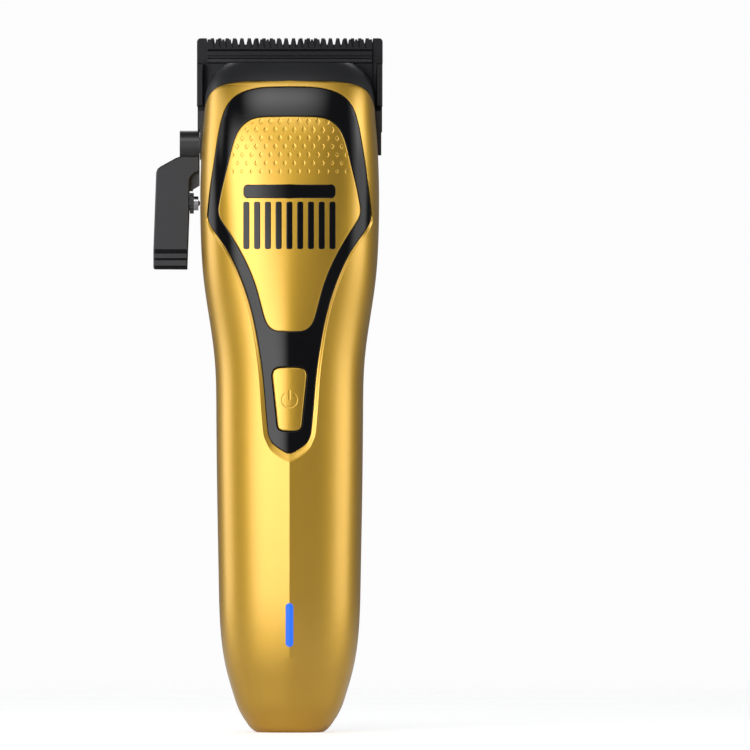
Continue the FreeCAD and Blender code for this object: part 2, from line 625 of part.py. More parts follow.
# Rear shell: form, hollow, bosses, vents and the pad that the lever's stop runs on.
rear_side = block("rear_side", ("-casing_reach", "0", "-1"),
                  ("casing_reach", "casing_reach", "rear_shell_top"))
rear_hollowed = cut("rear_hollowed", common("rear_blank", outer, rear_side), hollow)


def stop_pad():
    """A flat arc-shaped pad on the lever's side, round the lever's axis, and its five dents."""
    middle = Vector(0, dim("lever_y"), dim("lever_z"))
    reach = dim("lever_z") - dim("stop_z")
    radii = (reach - 1.9, reach + 1.9)
    turns = [math.radians(a) for a in (-6, 15, 36)]

    def at(radius, turn):
        return middle + Vector(0, radius * math.sin(turn), -radius * math.cos(turn))

    inner = [at(radii[0], t) for t in turns]
    outside = [at(radii[1], t) for t in turns]
    wire = Part.Wire([
        Part.Arc(*inner).toShape(),
        Part.LineSegment(inner[2], outside[2]).toShape(),
        Part.Arc(*reversed(outside)).toShape(),
        Part.LineSegment(outside[0], inner[0]).toShape(),
    ])
    pad_solid = Part.Face(wire).extrude(Vector(9.0, 0, 0))
    pad_solid.translate(Vector(-22.2, 0, 0))
    spots = [at(reach, math.radians(number * 7.5)) for number in range(5)]
    dents = [Part.makeCylinder(1.3, 0.6, Vector(-22.5, spot.y, spot.z), X_AXIS) for spot in spots]
    return pad_solid, Part.makeCompound(dents)


pad_shape, dent_shape = stop_pad()
pad_form = feature("stop_pad", pad_shape)
stop_dents = feature("stop_dents", dent_shape)
pad_trimmed = cut("pad_trimmed", common("pad_rear", pad_form, rear_side), hollow)
vents = [block(f"vent_{n}", ("-vent_width / 2", "5", f"vent_low + {n} * vent_pitch"),
               ("vent_width / 2", "casing_reach", f"vent_low + {n} * vent_pitch + vent_height"))
         for n in range(int(dim("vent_count")))]
rear_trimmed_bosses = common("rear_trimmed_bosses", fuse("rear_bosses", *rear_bosses), outer)
rear_bossed = fuse("rear_bossed", rear_hollowed, pad_trimmed, rear_trimmed_bosses)
rear_shell = cut("rear_shell", rear_bossed, foot_hole, stop_dents, *head_holes, *shank_holes,
                 *vents)

# Head frame: black ring behind the blades' root, with a rail up each side and the lever's boss.
frame_zone = block("frame_zone", ("-casing_reach", "0", "rear_shell_top"),
                   ("casing_reach", "casing_reach", "frame_top"))
frame_ring = common("frame_ring", outer, frame_zone)
right_rail = block("right_rail", ("frame_rail_inner", "rail_front", "right_rail_low"),
                   ("frame_rail_outer", "frame_rail_back", "frame_rail_top"))
left_rail = block("left_rail", ("-frame_rail_outer", "rail_front", "left_rail_step"),
                  ("-frame_rail_inner", "frame_rail_back", "frame_rail_top"))
left_rail_foot = block("left_rail_foot", ("-bush_outer", "rail_front", "left_rail_low"),
                       ("-frame_rail_inner", "frame_rail_back", "left_rail_step"))
lever_washer = cylinder("lever_washer", "hub_radius", "bush_outer - boss_outer",
                        ("-bush_outer", "lever_y", "lever_z"), "x")
lever_boss = cylinder("lever_boss", "frame_boss_radius", "boss_outer - bush_inner",
                      ("-boss_outer", "lever_y", "lever_z"), "x")
boss_zone = common("boss_zone", lever_boss, frame_zone)
bush_hole = cylinder("bush_hole", "bush_radius", "12", ("-26", "lever_y", "lever_z"), "x")
crank_room = cylinder("crank_room", "crank_disc_radius + 0.3", "6",
                      ("-17.6", "lever_y", "lever_z"), "x")
frame_hollowed = cut("frame_hollowed", frame_ring, hollow)
frame_bossed = fuse("frame_bossed", frame_hollowed, right_rail, left_rail, left_rail_foot,
                    lever_washer, boss_zone)
head_frame = cut("head_frame", frame_bossed, bush_hole, crank_room)

# Nose cap between the front shell and the blades.
nose_zone = block("nose_zone", ("-casing_reach", "-casing_reach", "nose_base"),
                  ("casing_reach", "nose_back", "nose_top + 1"))
nose_room = common("nose_room", hollow, block(
    "nose_room_zone", ("-casing_reach", "-casing_reach", "nose_base - 1"),
    ("casing_reach", "casing_reach", "nose_top - nose_wall")))
nose_cap = cut("nose_cap", common("nose_blank", outer, nose_zone), arch_prism, nose_room)

# Board, battery and chassis. ---------------------------------------------------------------------
circuit_board = block("circuit_board", ("-board_half", "-board_front", "board_low"),
                      ("board_half", "-board_back", "board_high"))
CHIPS = [("charge_chip", -2.5, 38.0, 5.0, 5.0, 1.1), ("motor_chip", -3.0, 66.0, 6.0, 6.0, 1.2),
         ("coil", 3.5, 52.0, 4.4, 4.4, 2.2), ("connector", -7.5, 88.0, 5.0, 4.0, 2.4)]
board_chips = group("board_chips", *[
    block(name, (x, f"-board_front - {height}", z), (x + wide, "-board_front", z + tall))
    for name, x, z, wide, tall, height in CHIPS])
switch_box = block("switch_box", ("-3", "-12.2", "(button_low + button_high) / 2 - 3"),
                   ("3", "-board_front", "(button_low + button_high) / 2 + 3"))
switch_key = cylinder("switch_key", "1.6", "0.7", ("0", "-12.9", "(button_low + button_high) / 2"),
                      "y")
tact_switch = fuse("tact_switch", switch_box, switch_key)
led_chip = block("led_chip", ("-1.4", "-10.4", "25.2"), ("1.4", "-board_front", "28.7"))

battery_cell = cylinder("battery_cell", "cell_radius", "cell_length", ("0", "cell_y", "cell_low"))
battery_tabs = group("battery_tabs", *[
    block(name, ("-3.5", "cell_y - 4", low), (reach, "cell_y + 3", high))
    for name, reach, low, high in (
        ("tab_low", "3.5", "cell_low - 0.25", "cell_low"),
        ("tab_high", "8.2", "cell_low + cell_length", "cell_low + cell_length + 0.25"))])
chassis_plate = block("chassis_plate", ("-chassis_half", "-chassis_front", "chassis_low"),
                      ("chassis_half", "-chassis_back", "93"))
wall_low = block("cell_wall_low", ("-chassis_half", "-chassis_back", "chassis_low"),
                 ("chassis_half", "8", "chassis_low + cell_wall"))
wall_high = block("cell_wall_high",
                  ("-chassis_half", "-chassis_back", "cell_low + cell_length + 0.7"),
                  ("chassis_half", "8", "cell_low + cell_length + 0.7 + cell_wall"))
chassis_posts = [block(f"chassis_post_{side}", (low, "-chassis_front", "92"),
                       (high, "-chassis_back", "100.7"))
                 for side, low, high in (("right", "4.6", "6"), ("left", "-6", "-4.6"))]
motor_seat = cylinder("motor_seat", "motor_radius", "2.4", ("0", "motor_y", "100.7"))
seat_notch = block("seat_notch", ("-4.5", "-12", "100"), ("4.5", "-5.4", "104"))
lead_notch = block("lead_notch", ("5.8", "-1.2", "cell_low + cell_length"), ("9.9", "1.6", "94"))
chassis = cut("chassis", fuse("chassis_blank", chassis_plate, wall_low, wall_high, motor_seat,
                              *chassis_posts), seat_notch, lead_notch)

LEAD_RADIUS = 0.5
BATTERY_LEAD_PLACES, MOTOR_LEAD_PLACES = (7.0, 8.3), (-2.5, 2.5)
battery_leads = feature("battery_leads", Part.makeCompound([
    tube_path([Vector(x, 0.2, 88.8), Vector(x, 0.2, 92.6), Vector(x, -5.0, 94.4),
               Vector(x, -7.6, 94.4)], LEAD_RADIUS) for x in BATTERY_LEAD_PLACES]))
motor_leads = feature("motor_leads", Part.makeCompound([
    tube_path([Vector(x, -8.3, 96.0), Vector(x, -8.3, 98.4), Vector(x, -7.2, 100.9),
               Vector(x, -7.2, 103.2)], LEAD_RADIUS) for x in MOTOR_LEAD_PLACES]))

# Motor. ------------------------------------------------------------------------------------------
can_blank = cylinder("can_blank", "motor_radius", "motor_high - endcap_top",
                     ("0", "motor_y", "endcap_top"))
can_hollow = cylinder("can_hollow", "motor_radius - can_wall", "motor_high - endcap_top - 1.5",
                      ("0", "motor_y", "endcap_top"))
can_hole = cylinder("can_hole", "bearing_radius", "5", ("0", "motor_y", "motor_high - 3"))
bearing_blank = cylinder("bearing_blank", "bearing_radius", "bearing_top - motor_high + 2.5",
                         ("0", "motor_y", "motor_high - 2.5"))
bearing_bore = cylinder("bearing_bore", "shaft_radius + shaft_gap", "20",
                        ("0", "motor_y", "motor_high - 8"))
motor_bearing = cut("motor_bearing", bearing_blank, bearing_bore)
endcap_blank = cylinder("endcap_blank", "motor_radius", "endcap_top - motor_low",
                        ("0", "motor_y", "motor_low"))
endcap_bore = cylinder("endcap_bore", "shaft_radius + shaft_gap", "5",
                       ("0", "motor_y", "motor_low + 1"))
motor_endcap = cut("motor_endcap", endcap_blank, endcap_bore)
magnet_blank = cylinder("magnet_blank", "motor_radius - can_wall", "18", ("0", "motor_y", "109"))
magnet_bore = cylinder("magnet_bore", "magnet_inner", "30", ("0", "motor_y", "100"))
magnet_split = block("magnet_split", ("-2", "-15", "105"), ("2", "15", "135"))
motor_magnets = cut("motor_magnets", magnet_blank, magnet_bore, magnet_split)
motor_shaft = cylinder("motor_shaft", "shaft_radius", "shaft_top - motor_low - 1.4",
                       ("0", "motor_y", "motor_low + 1.4"))
core_blank = cylinder("core_blank", "core_radius", "16", ("0", "motor_y", "110"))
core_bore = cylinder("core_bore", "shaft_radius", "30", ("0", "motor_y", "105"))
core_slots = [block(f"core_slot_{n}", ("-0.8", "4", "105"), ("0.8", "14", "130")) for n in range(5)]
for number, slot in enumerate(core_slots):
    turn = Placement(Vector(0, dim("motor_y"), 0), Rotation(Z_AXIS, 72 * number))
    slot.setExpression("Placement.Base.x", None)
    slot.setExpression("Placement.Base.y", None)
    slot.setExpression("Placement.Base.z", None)
    slot.Placement = turn.multiply(Placement(Vector(-0.8, 4, 105), Rotation()))
rotor_core = cut("rotor_core", core_blank, core_bore, *core_slots)

bracket_plate = block("bracket_plate", ("-bracket_half", "-8", "motor_high"),
                      ("bracket_half", "9", "motor_high + bracket_thickness"))
bracket_hole = cylinder("bracket_hole", "bearing_radius", "5", ("0", "motor_y", "motor_high - 1"))
motor_screw_solids, motor_screw_holes = [], []
for side, x in (("right", "motor_screw_x"), ("left", "-motor_screw_x")):
    shank = cylinder(f"motor_shank_{side}", "1", "3.2", (x, "motor_y", "motor_high - 1.4"))
    head = cylinder(f"motor_head_{side}", "1.8", "1.2",
                    (x, "motor_y", "motor_high + bracket_thickness"))
    motor_screw_solids.append(fuse(f"motor_screw_{side}", shank, head))
    motor_screw_holes.append(cylinder(f"motor_hole_{side}", "1", "6",
                                      (x, "motor_y", "motor_high - 3")))
motor_bracket = cut("motor_bracket", bracket_plate, bracket_hole, *motor_screw_holes)
motor_can = cut("motor_can", can_blank, can_hollow, can_hole, *motor_screw_holes)
motor_screws = group("motor_screws", *motor_screw_solids)

# Eccentric and its roller. At rest the throw points to the front, so the blade is in mid stroke.
cam_disc = cylinder("cam_disc", "cam_radius", "cam_high - cam_low", ("0", "motor_y", "cam_low"))
cam_pin = cylinder("cam_pin", "pin_radius", "pin_top - cam_high",
                   ("0", "motor_y - throw", "cam_high"))
cam_weight = block("cam_weight", ("-4", "motor_y", "cam_high"), ("4", "motor_y + 3.6", "cam_high + 1.2"))
cam_bore = cylinder("cam_bore", "shaft_radius", "shaft_top - cam_low", ("0", "motor_y", "cam_low"))
eccentric_cam = cut("eccentric_cam", fuse("cam_blank", cam_disc, cam_pin, cam_weight), cam_bore)
roller = cylinder("roller", "roller_radius", "roller_high - roller_low",
                  ("0", "motor_y - throw", "roller_low"))
roller_bore = cylinder("roller_bore", "pin_radius", "9", ("0", "motor_y - throw", "roller_low - 1"))
cam_bearing = cut("cam_bearing", roller, roller_bore)

# Yoke between the roller and the moving blade.
yoke_plate = block("yoke_plate", ("-yoke_half", "yoke_front", "yoke_low"),
                   ("yoke_half", "yoke_back", "yoke_high"))
yoke_fork = block("yoke_fork", ("-yoke_half", "-fork_reach", "yoke_low"),
                  ("yoke_half", "yoke_front", "fork_high"))
yoke_slot = block("yoke_slot", ("-yoke_slot_half", "-fork_reach - 1", "yoke_low - 1"),
                  ("yoke_slot_half", "yoke_front", "fork_high + 1"))
yoke_pad = block("yoke_pad", ("-yoke_half", "yoke_back", "161"), ("yoke_half", "6.2", "yoke_high"))
yoke_pins = group("yoke_pins", *[cylinder(f"yoke_pin_{side}", "0.8", "2.6", (x, "4.4", "162.2"), "y")
                                 for side, x in (("right", "3.6"), ("left", "-3.6"))])
yoke_pin_holes = [cylinder(f"yoke_pin_hole_{side}", "0.8", "2.6", (x, "4.4", "162.2"), "y")
                  for side, x in (("right", "3.6"), ("left", "-3.6"))]
drive_yoke = cut("drive_yoke", fuse("yoke_blank", yoke_plate, yoke_fork, yoke_pad), yoke_slot,
                 *yoke_pin_holes)

# Blades. -----------------------------------------------------------------------------------------
pin_seats = [cylinder(f"pin_seat_{side}", "0.8", "0.8", (x, "6.2", "162.2"), "y")
             for side, x in (("right", "3.6"), ("left", "-3.6"))]
moving_blade = cut("moving_blade", moving, *pin_seats)



def blade_corner(sign):
    """What rounds off one outer top corner of the fixed blade."""
    radius, side, top = dim("blade_corner"), dim("blade_half"), dim("fixed_tip")
    middle = Vector(sign * (side - radius), 0, top - radius)
    slant = Vector(sign, 0, 1).normalize() * radius
    on_side = middle + Vector(sign * radius, 0, 0)
    on_top = middle + Z_AXIS * radius
    outside = Vector(sign * (side + 1), 0, top + 1)
    edges = [Part.Arc(on_side, middle + slant, on_top).toShape()]
    corners = [on_top, Vector(on_top.x, 0, outside.z), outside, Vector(outside.x, 0, on_side.z),
               on_side]
    edges += [Part.LineSegment(*ends).toShape() for ends in zip(corners, corners[1:])]
    return Part.Face(Part.Wire(edges)).extrude(Y_AXIS * 20)


blade_corners = [feature(f"blade_corner_{side}", blade_corner(sign))
                 for side, sign in (("right", 1), ("left", -1))]
fixed_sides = [
    block("neck_right", ("fixed_neck_half", "0", "fixed_low - 1"), ("30", "20", "fixed_neck_top")),
    block("neck_left", ("-30", "0", "fixed_low - 1"), ("-fixed_neck_half", "20", "fixed_neck_top")),
]
blade_screw_holes = [
    cylinder(f"blade_screw_hole_{side}", "1.5", "8", (x, "blade_seat - 3", "blade_screw_z"), "y")
    for side, x in (("right", "blade_screw_x"), ("left", "-blade_screw_x"))]
fixed_blade = cut("fixed_blade", fixed, *fixed_sides, *blade_corners, *blade_screw_holes)

blade_screw_solids = []
for side, x in (("right", "blade_screw_x"), ("left", "-blade_screw_x")):
    shank = cylinder(f"blade_shank_{side}", "1.5", "blade_seat + fixed_thickness - 6",
                     (x, "6", "blade_screw_z"), "y")
    head = cylinder(f"blade_head_{side}", "2.7", "1.5",
                    (x, "blade_seat + fixed_thickness", "blade_screw_z"), "y")
    slot = block(f"blade_slot_{side}", (f"{x} - 0.35", "blade_seat + fixed_thickness + 0.8",
                                        "blade_screw_z - 4"), (f"{x} + 0.35", "20",
                                                               "blade_screw_z + 4"))
    blade_screw_solids.append(cut(f"blade_screw_{side}", fuse(f"blade_screw_blank_{side}", shank,
                                                              head), slot))
blade_screws = group("blade_screws", *blade_screw_solids)

# Blade bracket: carries the fixed blade and slides when the lever turns.
bracket_cross = block("bracket_cross", ("-cross_half", "cross_front", "cross_low"),
                      ("cross_half", "blade_seat", "cross_high"))
bracket_top = block("bracket_top", ("-rail_outer", "cross_front", "rail_low"),
                    ("rail_outer", "blade_seat", "cross_high"))
rail_blanks = [
    block("rail_right", ("rail_inner", "rail_front", "rail_low"),
          ("rail_outer", "blade_seat", "rail_high")),
    block("rail_left", ("-rail_outer", "rail_front", "rail_low"),
          ("-rail_inner", "blade_seat", "rail_high")),
]
doc.recompute()
rails = []
for blank in rail_blanks:
    rail = doc.addObject("Part::Chamfer", blank.Name + "_eased")
    rail.Base = blank
    front_edges = [number for number, edge in enumerate(blank.Shape.Edges, 1)
                   if all(abs(vertex.Y - dim("rail_front")) < 0.01 for vertex in edge.Vertexes)]
    rail.Edges = [(number, dim("rail_edge"), dim("rail_edge")) for number in front_edges]
    rails.append(rail)
leg = block("crank_leg", ("-leg_outer", "leg_front", "leg_low"),
            ("-leg_inner", "leg_back", "cross_low + 1.5"))
posts = [cylinder(f"post_{side}", "1.5", "cross_front - post_front", (x, "post_front", "post_z"), "y")
         for side, x in (("right", "post_x"), ("left", "-post_x"))]
sweep = math.radians(dim("crank_half_sweep"))
crank_y = dim("lever_y") + dim("crank_radius") * math.cos(sweep)
crank_z = dim("lever_z") - dim("crank_radius") * math.sin(sweep)
slot_half = dim("crank_pin_radius") + dim("crank_slot_gap")
slot_wire = stadium_wire(slot_half, slot_half + 0.35, Vector(-20, crank_y, crank_z), Z_AXIS, Y_AXIS)
crank_slot = feature("crank_slot", Part.Face(slot_wire).extrude(Vector(10, 0, 0)))
blade_bracket = cut("blade_bracket", fuse("bracket_blank", bracket_cross, bracket_top, *rails, leg,
                                          *posts), crank_slot, *blade_screw_holes)


def spring_form():
    """The wire that presses the moving blade: an arm, a turn round each post, and a bar between."""
    wire, y = dim("wire_radius"), 3.4
    coil = 1.5 + wire + 0.05
    end = Vector(3.0, 0, 160.4)
    post = Vector(dim("post_x"), 0, dim("post_z"))
    reach = post - end
    swing = math.atan2(reach.z, reach.x) + math.asin(coil / reach.Length)
    run = math.sqrt(reach.Length ** 2 - coil ** 2)
    touch = end + Vector(math.cos(swing), 0, math.sin(swing)) * run
    side = post + Vector(math.cos(0.2), 0, -math.sin(0.2)) * coil
    low = post - Z_AXIS * coil

    def at(point, sign):
        return Vector(sign * point.x, y, point.z)

    path = Part.Wire([
        Part.LineSegment(at(end, 1), at(touch, 1)).toShape(),
        Part.Arc(at(touch, 1), at(side, 1), at(low, 1)).toShape(),
        Part.LineSegment(at(low, 1), at(low, -1)).toShape(),
        Part.Arc(at(low, -1), at(side, -1), at(touch, -1)).toShape(),
        Part.LineSegment(at(touch, -1), at(end, -1)).toShape(),
    ])
    ring = Part.Wire([Part.Circle(at(end, 1), at(touch, 1) - at(end, 1), wire).toShape()])
    return path.makePipeShell([ring], True, False)


blade_spring = feature("blade_spring", spring_form())

# Taper lever. ------------------------------------------------------------------------------------
hub = cylinder("hub", "hub_radius", "hub_outer - hub_inner", ("-hub_outer", "lever_y", "lever_z"), "x")
GRIP_GROOVES = [("119.6", "120.7"), ("117.9", "118.5"), ("114.0", "116.6")]
grooves = [block(f"grip_groove_{n}", ("-36", "-5", low),
                 ("-24", "lever_y - arm_thickness / 2 + groove_depth", high))
           for n, (low, high) in enumerate(GRIP_GROOVES)]
hub_bore = cylinder("hub_bore", "lever_bore", "25.7 - hub_inner", ("-25.6", "lever_y", "lever_z"), "x")
hub_recess = cylinder("hub_recess", "2.25", "3", ("-28.6", "lever_y", "lever_z"), "x")
screw_way = cylinder("screw_way", "1.0", "5", ("-27", "lever_y", "lever_z"), "x")
stop_bore = cylinder("stop_bore", "1.9", "6", ("-30", "lever_y", "stop_z"), "x")
taper_lever = cut("taper_lever", fuse("lever_blank", lever, hub), hub_bore, hub_recess, screw_way,
                  stop_bore, *grooves)

shaft_rod = cylinder("lever_rod", "lever_bore", "25.6 - crank_disc_outer",
                     ("-25.6", "lever_y", "lever_z"), "x")
crank_disc = cylinder("crank_disc", "crank_disc_radius", "crank_disc_outer - crank_disc_inner",
                      ("-crank_disc_outer", "lever_y", "lever_z"), "x")
crank_pin = feature("crank_pin", Part.makeCylinder(
    dim("crank_pin_radius"), dim("crank_disc_inner") - dim("crank_pin_end"),
    Vector(-dim("crank_disc_inner"), crank_y, crank_z), X_AXIS))
thread_hole = cylinder("thread_hole", "1.0", "6.6", ("-25.6", "lever_y", "lever_z"), "x")
lever_shaft = cut("lever_shaft", fuse("lever_shaft_blank", shaft_rod, crank_disc, crank_pin),
                  thread_hole)
bush_blank = cylinder("bush_blank", "bush_radius", "bush_outer - bush_inner",
                      ("-bush_outer", "lever_y", "lever_z"), "x")
bush_bore = cylinder("bush_bore", "lever_bore + bush_gap", "9", ("-25", "lever_y", "lever_z"), "x")
lever_bush = cut("lever_bush", bush_blank, bush_bore)
screw_head = cylinder("lever_screw_head", "2.2", "1.4", ("-27.0", "lever_y", "lever_z"), "x")
screw_shank = cylinder("lever_screw_shank", "1.0", "6.6", ("-25.6", "lever_y", "lever_z"), "x")
driver_slot = cylinder("driver_slot", "1.0", "0.8", ("-27.0", "lever_y", "lever_z"), "x")
lever_screw = cut("lever_screw", fuse("lever_screw_blank", screw_head, screw_shank), driver_slot)

# Spring plunger on the lever that clicks along the stop pad.
collar = cylinder("collar", "2.6", "1.0", ("-25.0", "lever_y", "stop_z"), "x")
collar_stem = cylinder("collar_stem", "1.9", "4.0", ("-29.0", "lever_y", "stop_z"), "x")
collar_bore = cylinder("collar_bore", "1.2", "4.5", ("-28.4", "lever_y", "stop_z"), "x")
KNURLS = 18
knurl_cuts = [cylinder(f"knurl_{n}", "0.28", "4", (
    "-25.1", f"lever_y + {2.7 * math.cos(math.tau * n / KNURLS):.3f}",
    f"stop_z + {2.7 * math.sin(math.tau * n / KNURLS):.3f}"), "x") for n in range(KNURLS)]
detent_collar = cut("detent_collar", fuse("collar_blank", collar, collar_stem), collar_bore,
                    *knurl_cuts)
cap = cylinder("detent_cap", "1.8", "1.15", ("-24.0", "lever_y", "stop_z"), "x")
cap_bore = cylinder("detent_cap_bore", "0.95", "3", ("-25", "lever_y", "stop_z"), "x")
detent_housing = cut("detent_housing", cap, cap_bore)
tip_rod = cylinder("detent_rod", "0.9", "2.9", ("-26.2", "lever_y", "stop_z"), "x")
tip_ball = doc.addObject("Part::Sphere", "detent_ball")
tip_ball.Radius = 0.9
place(tip_ball, ("-23.3", "lever_y", "stop_z"))
detent_pin = fuse("detent_pin", tip_rod, tip_ball)
helix = Part.makeHelix(0.5, 2.0, 0.75)
helix_profile = Part.Wire([Part.Circle(Vector(0.75, 0, 0), Y_AXIS, 0.14).toShape()])
coil_solid = Part.Wire(helix).makePipeShell([helix_profile], True, True)
detent_spring = feature("detent_spring", coil_solid)
detent_spring.Placement = Placement(
    Vector(-28.25, dim("lever_y"), dim("stop_z")), Rotation(Y_AXIS, 90))

# Write every sub-part. ---------------------------------------------------------------------------
SUBPARTS = [
    front_shell, rear_shell, head_frame, nose_cap, bezel, face_plate, emblem, power_button,
    led_lens, dock_plate, usb_socket, charge_contacts, port_board, casing_screws, chassis,
    battery_cell, battery_tabs, battery_leads, circuit_board, board_chips, tact_switch, led_chip,
    motor_can, motor_endcap, motor_magnets, motor_bearing, motor_bracket, motor_screws,
    motor_leads, rotor_core, motor_shaft, eccentric_cam, cam_bearing, drive_yoke, yoke_pins,
    moving_blade, fixed_blade, blade_bracket, blade_screws, blade_spring, taper_lever,
    lever_shaft, lever_bush, lever_screw, detent_collar, detent_housing, detent_pin, detent_spring,
]
doc.recompute()
for item in doc.Objects:
    if "Invalid" in item.State or "Error" in item.State:
        raise RuntimeError(f"{item.Name} failed: {item.State}")
for item in SUBPARTS:
    if item.Shape.isNull() or not item.Shape.isValid() or not item.Shape.Solids:
        raise RuntimeError(f"{item.Label} has no valid solid")
    item.Shape.exportStep(os.path.join("parts", f"{item.Label}.step"))
    print(item.Label, len(item.Shape.Solids), round(item.Shape.Volume, 2))
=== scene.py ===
"""Looks of the hair clipper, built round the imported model. Sizes are in millimetres until a mesh is made."""
import bisect
import json
import math
from itertools import accumulate, groupby

import bmesh
import bpy
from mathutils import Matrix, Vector


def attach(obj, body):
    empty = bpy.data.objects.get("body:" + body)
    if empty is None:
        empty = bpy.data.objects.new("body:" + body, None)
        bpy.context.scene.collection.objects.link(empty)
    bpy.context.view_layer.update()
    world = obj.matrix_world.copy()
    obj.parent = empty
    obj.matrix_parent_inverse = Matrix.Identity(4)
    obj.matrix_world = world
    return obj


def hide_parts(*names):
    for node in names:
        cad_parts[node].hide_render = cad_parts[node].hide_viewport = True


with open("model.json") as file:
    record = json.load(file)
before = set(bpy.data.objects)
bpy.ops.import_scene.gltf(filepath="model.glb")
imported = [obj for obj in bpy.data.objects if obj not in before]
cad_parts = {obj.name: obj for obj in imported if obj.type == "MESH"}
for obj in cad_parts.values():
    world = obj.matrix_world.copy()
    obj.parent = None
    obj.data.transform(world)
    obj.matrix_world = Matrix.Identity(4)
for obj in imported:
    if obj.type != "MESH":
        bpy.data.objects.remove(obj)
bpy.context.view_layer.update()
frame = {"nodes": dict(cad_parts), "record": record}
MM = 0.001
TINY = 1e-6

# ---------------------------------------------------------------------------------------------
# Casing form: the front of the model's own section rule. One row per station: height, half width,
# front depth, height of the front ridge, squareness of the front.
# ---------------------------------------------------------------------------------------------
STATIONS = [
    (0.0, 8.2, 8.2, 0.2, 2.4), (0.5, 9.1, 9.0, 0.3, 2.4), (2.0, 10.5, 10.1, 0.6, 2.4),
    (5.0, 12.4, 11.7, 1.0, 2.5), (9.5, 14.1, 13.2, 1.6, 2.7), (15.5, 15.8, 14.9, 2.2, 2.8),
    (23.0, 17.05, 16.1, 2.7, 2.9), (38.0, 17.75, 16.8, 3.0, 3.0), (60.0, 18.15, 17.0, 3.0, 3.0),
    (80.0, 18.35, 17.0, 3.0, 3.0), (93.0, 18.75, 17.1, 2.8, 3.0), (103.0, 20.05, 17.3, 2.4, 3.0),
    (113.0, 21.5, 17.6, 1.9, 3.1), (125.0, 22.25, 17.8, 1.3, 3.2), (138.0, 22.3, 17.5, 0.8, 3.3),
    (148.0, 21.85, 16.3, 0.5, 3.3), (155.0, 21.3, 14.4, 0.3, 3.2), (160.0, 20.85, 12.4, 0.2, 3.0),
    (164.0, 19.25, 10.0, 0.1, 2.8), (167.2, 15.6, 7.4, 0.05, 2.6),
]


def cubic_through(knots, values):
    """A natural cubic spline, as a function. Through two points it is a straight line."""
    count = len(knots)
    gaps = [knots[i + 1] - knots[i] for i in range(count - 1)]
    lower, diagonal, upper, right = [0.0] * count, [1.0] * count, [0.0] * count, [0.0] * count
    for i in range(1, count - 1):
        slope_before = (values[i] - values[i - 1]) / gaps[i - 1]
        slope_after = (values[i + 1] - values[i]) / gaps[i]
        lower[i], diagonal[i], upper[i] = gaps[i - 1], 2 * (gaps[i - 1] + gaps[i]), gaps[i]
        right[i] = 6 * (slope_after - slope_before)
    for i in range(1, count):
        share = lower[i] / diagonal[i - 1]
        diagonal[i] -= share * upper[i - 1]
        right[i] -= share * right[i - 1]
    bend = [0.0] * count
    for i in range(count - 1, -1, -1):
        following = upper[i] * bend[i + 1] if i + 1 < count else 0.0
        bend[i] = (right[i] - following) / diagonal[i]

    def value(at):
        i = min(max(bisect.bisect_right(knots, at) - 1, 0), count - 2)
        gap = gaps[i]
        a, b = (knots[i + 1] - at) / gap, (at - knots[i]) / gap
        curve = ((a ** 3 - a) * bend[i] + (b ** 3 - b) * bend[i + 1]) * gap * gap / 6
        return a * values[i] + b * values[i + 1] + curve
    return value


half_at, front_at, ridge_at, square_at = (
    cubic_through([row[0] for row in STATIONS], [row[column] for row in STATIONS])
    for column in range(1, 5))
SOFT_RIDGE = 2.5


def front_depth(x, z):
    """How far the unbroken casing surface stands in front of the middle plane."""
    square, ridge = square_at(z), ridge_at(z)
    share = min(abs(x) / half_at(z), 1.0)
    return (front_at(z) - ridge) * (1 - share ** square) ** (1 / square) + ridge * (1 - share)


def soft_depth(x, z):
    """The same surface with its front ridge rounded off, for the pieces set into it."""
    share = min(abs(x) / half_at(z), 1.0)
    eased = min(math.hypot(x, SOFT_RIDGE) / half_at(z), 1.0)
    return front_depth(x, z) - ridge_at(z) * (eased - share)


# ---------------------------------------------------------------------------------------------
# Outlines on the front: each is its right half, from the top down, as runs of smooth curve.
# ---------------------------------------------------------------------------------------------
BEZEL_RUNS = [
    [(0, 161.25), (5.5, 161.15), (10.5, 160.3), (13.75, 158.7), (15.7, 156.4), (17.0, 153.0),
     (18.2, 147.0), (19.4, 139.0), (20.3, 131.5), (20.5, 129.3)],
    [(20.5, 129.3), (20.3, 127.8), (19.2, 125.5)],
    [(19.2, 125.5), (15.6, 120.3), (12.1, 113.0), (9.6, 105.3), (7.9, 97.0), (6.75, 89.0),
     (6.05, 81.0), (5.6, 76.0)],
    [(5.6, 76.0), (5.15, 73.7), (4.35, 72.2)],
    [(4.35, 72.2), (2.85, 71.0), (1.3, 70.05), (0.4, 69.65), (0, 69.6)],
]
PLATE_RUNS = [
    [(0, 153.7), (6.0, 153.6), (9.4, 153.0), (12.2, 150.8), (14.0, 146.8), (15.5, 140.8),
     (16.9, 135.0), (17.6, 131.3)],
    [(17.6, 131.3), (17.65, 129.8), (17.1, 128.0)],
    [(17.1, 128.0), (13.8, 122.9), (10.6, 117.0), (8.25, 111.0), (6.85, 105.8), (6.25, 103.6)],
    [(6.25, 103.6), (5.4, 101.75), (4.15, 100.6), (2.7, 100.15)],
    [(2.7, 100.15), (0, 100.1)],
]
BUTTON_RUNS = [
    [(0, 91.1), (2.45, 91.05)],
    [(2.45, 91.05), (3.75, 90.5), (4.25, 89.1)],
    [(4.25, 89.1), (3.0, 77.1)],
    [(3.0, 77.1), (2.55, 75.8), (1.5, 75.35)],
    [(1.5, 75.35), (0, 75.3)],
]
ARCH_RUNS = [
    [(0, 162.7), (8.0, 162.65), (14.0, 162.25), (17.8, 161.2), (19.7, 159.7), (20.7, 157.8),
     (21.5, 154.8)],
    [(21.5, 154.8), (21.9, 152.6), (23.5, 150.0)],
]
RUN_STEP, BUTTON_STEP = 0.3, 0.2
LEAST_FALL = 1e-4


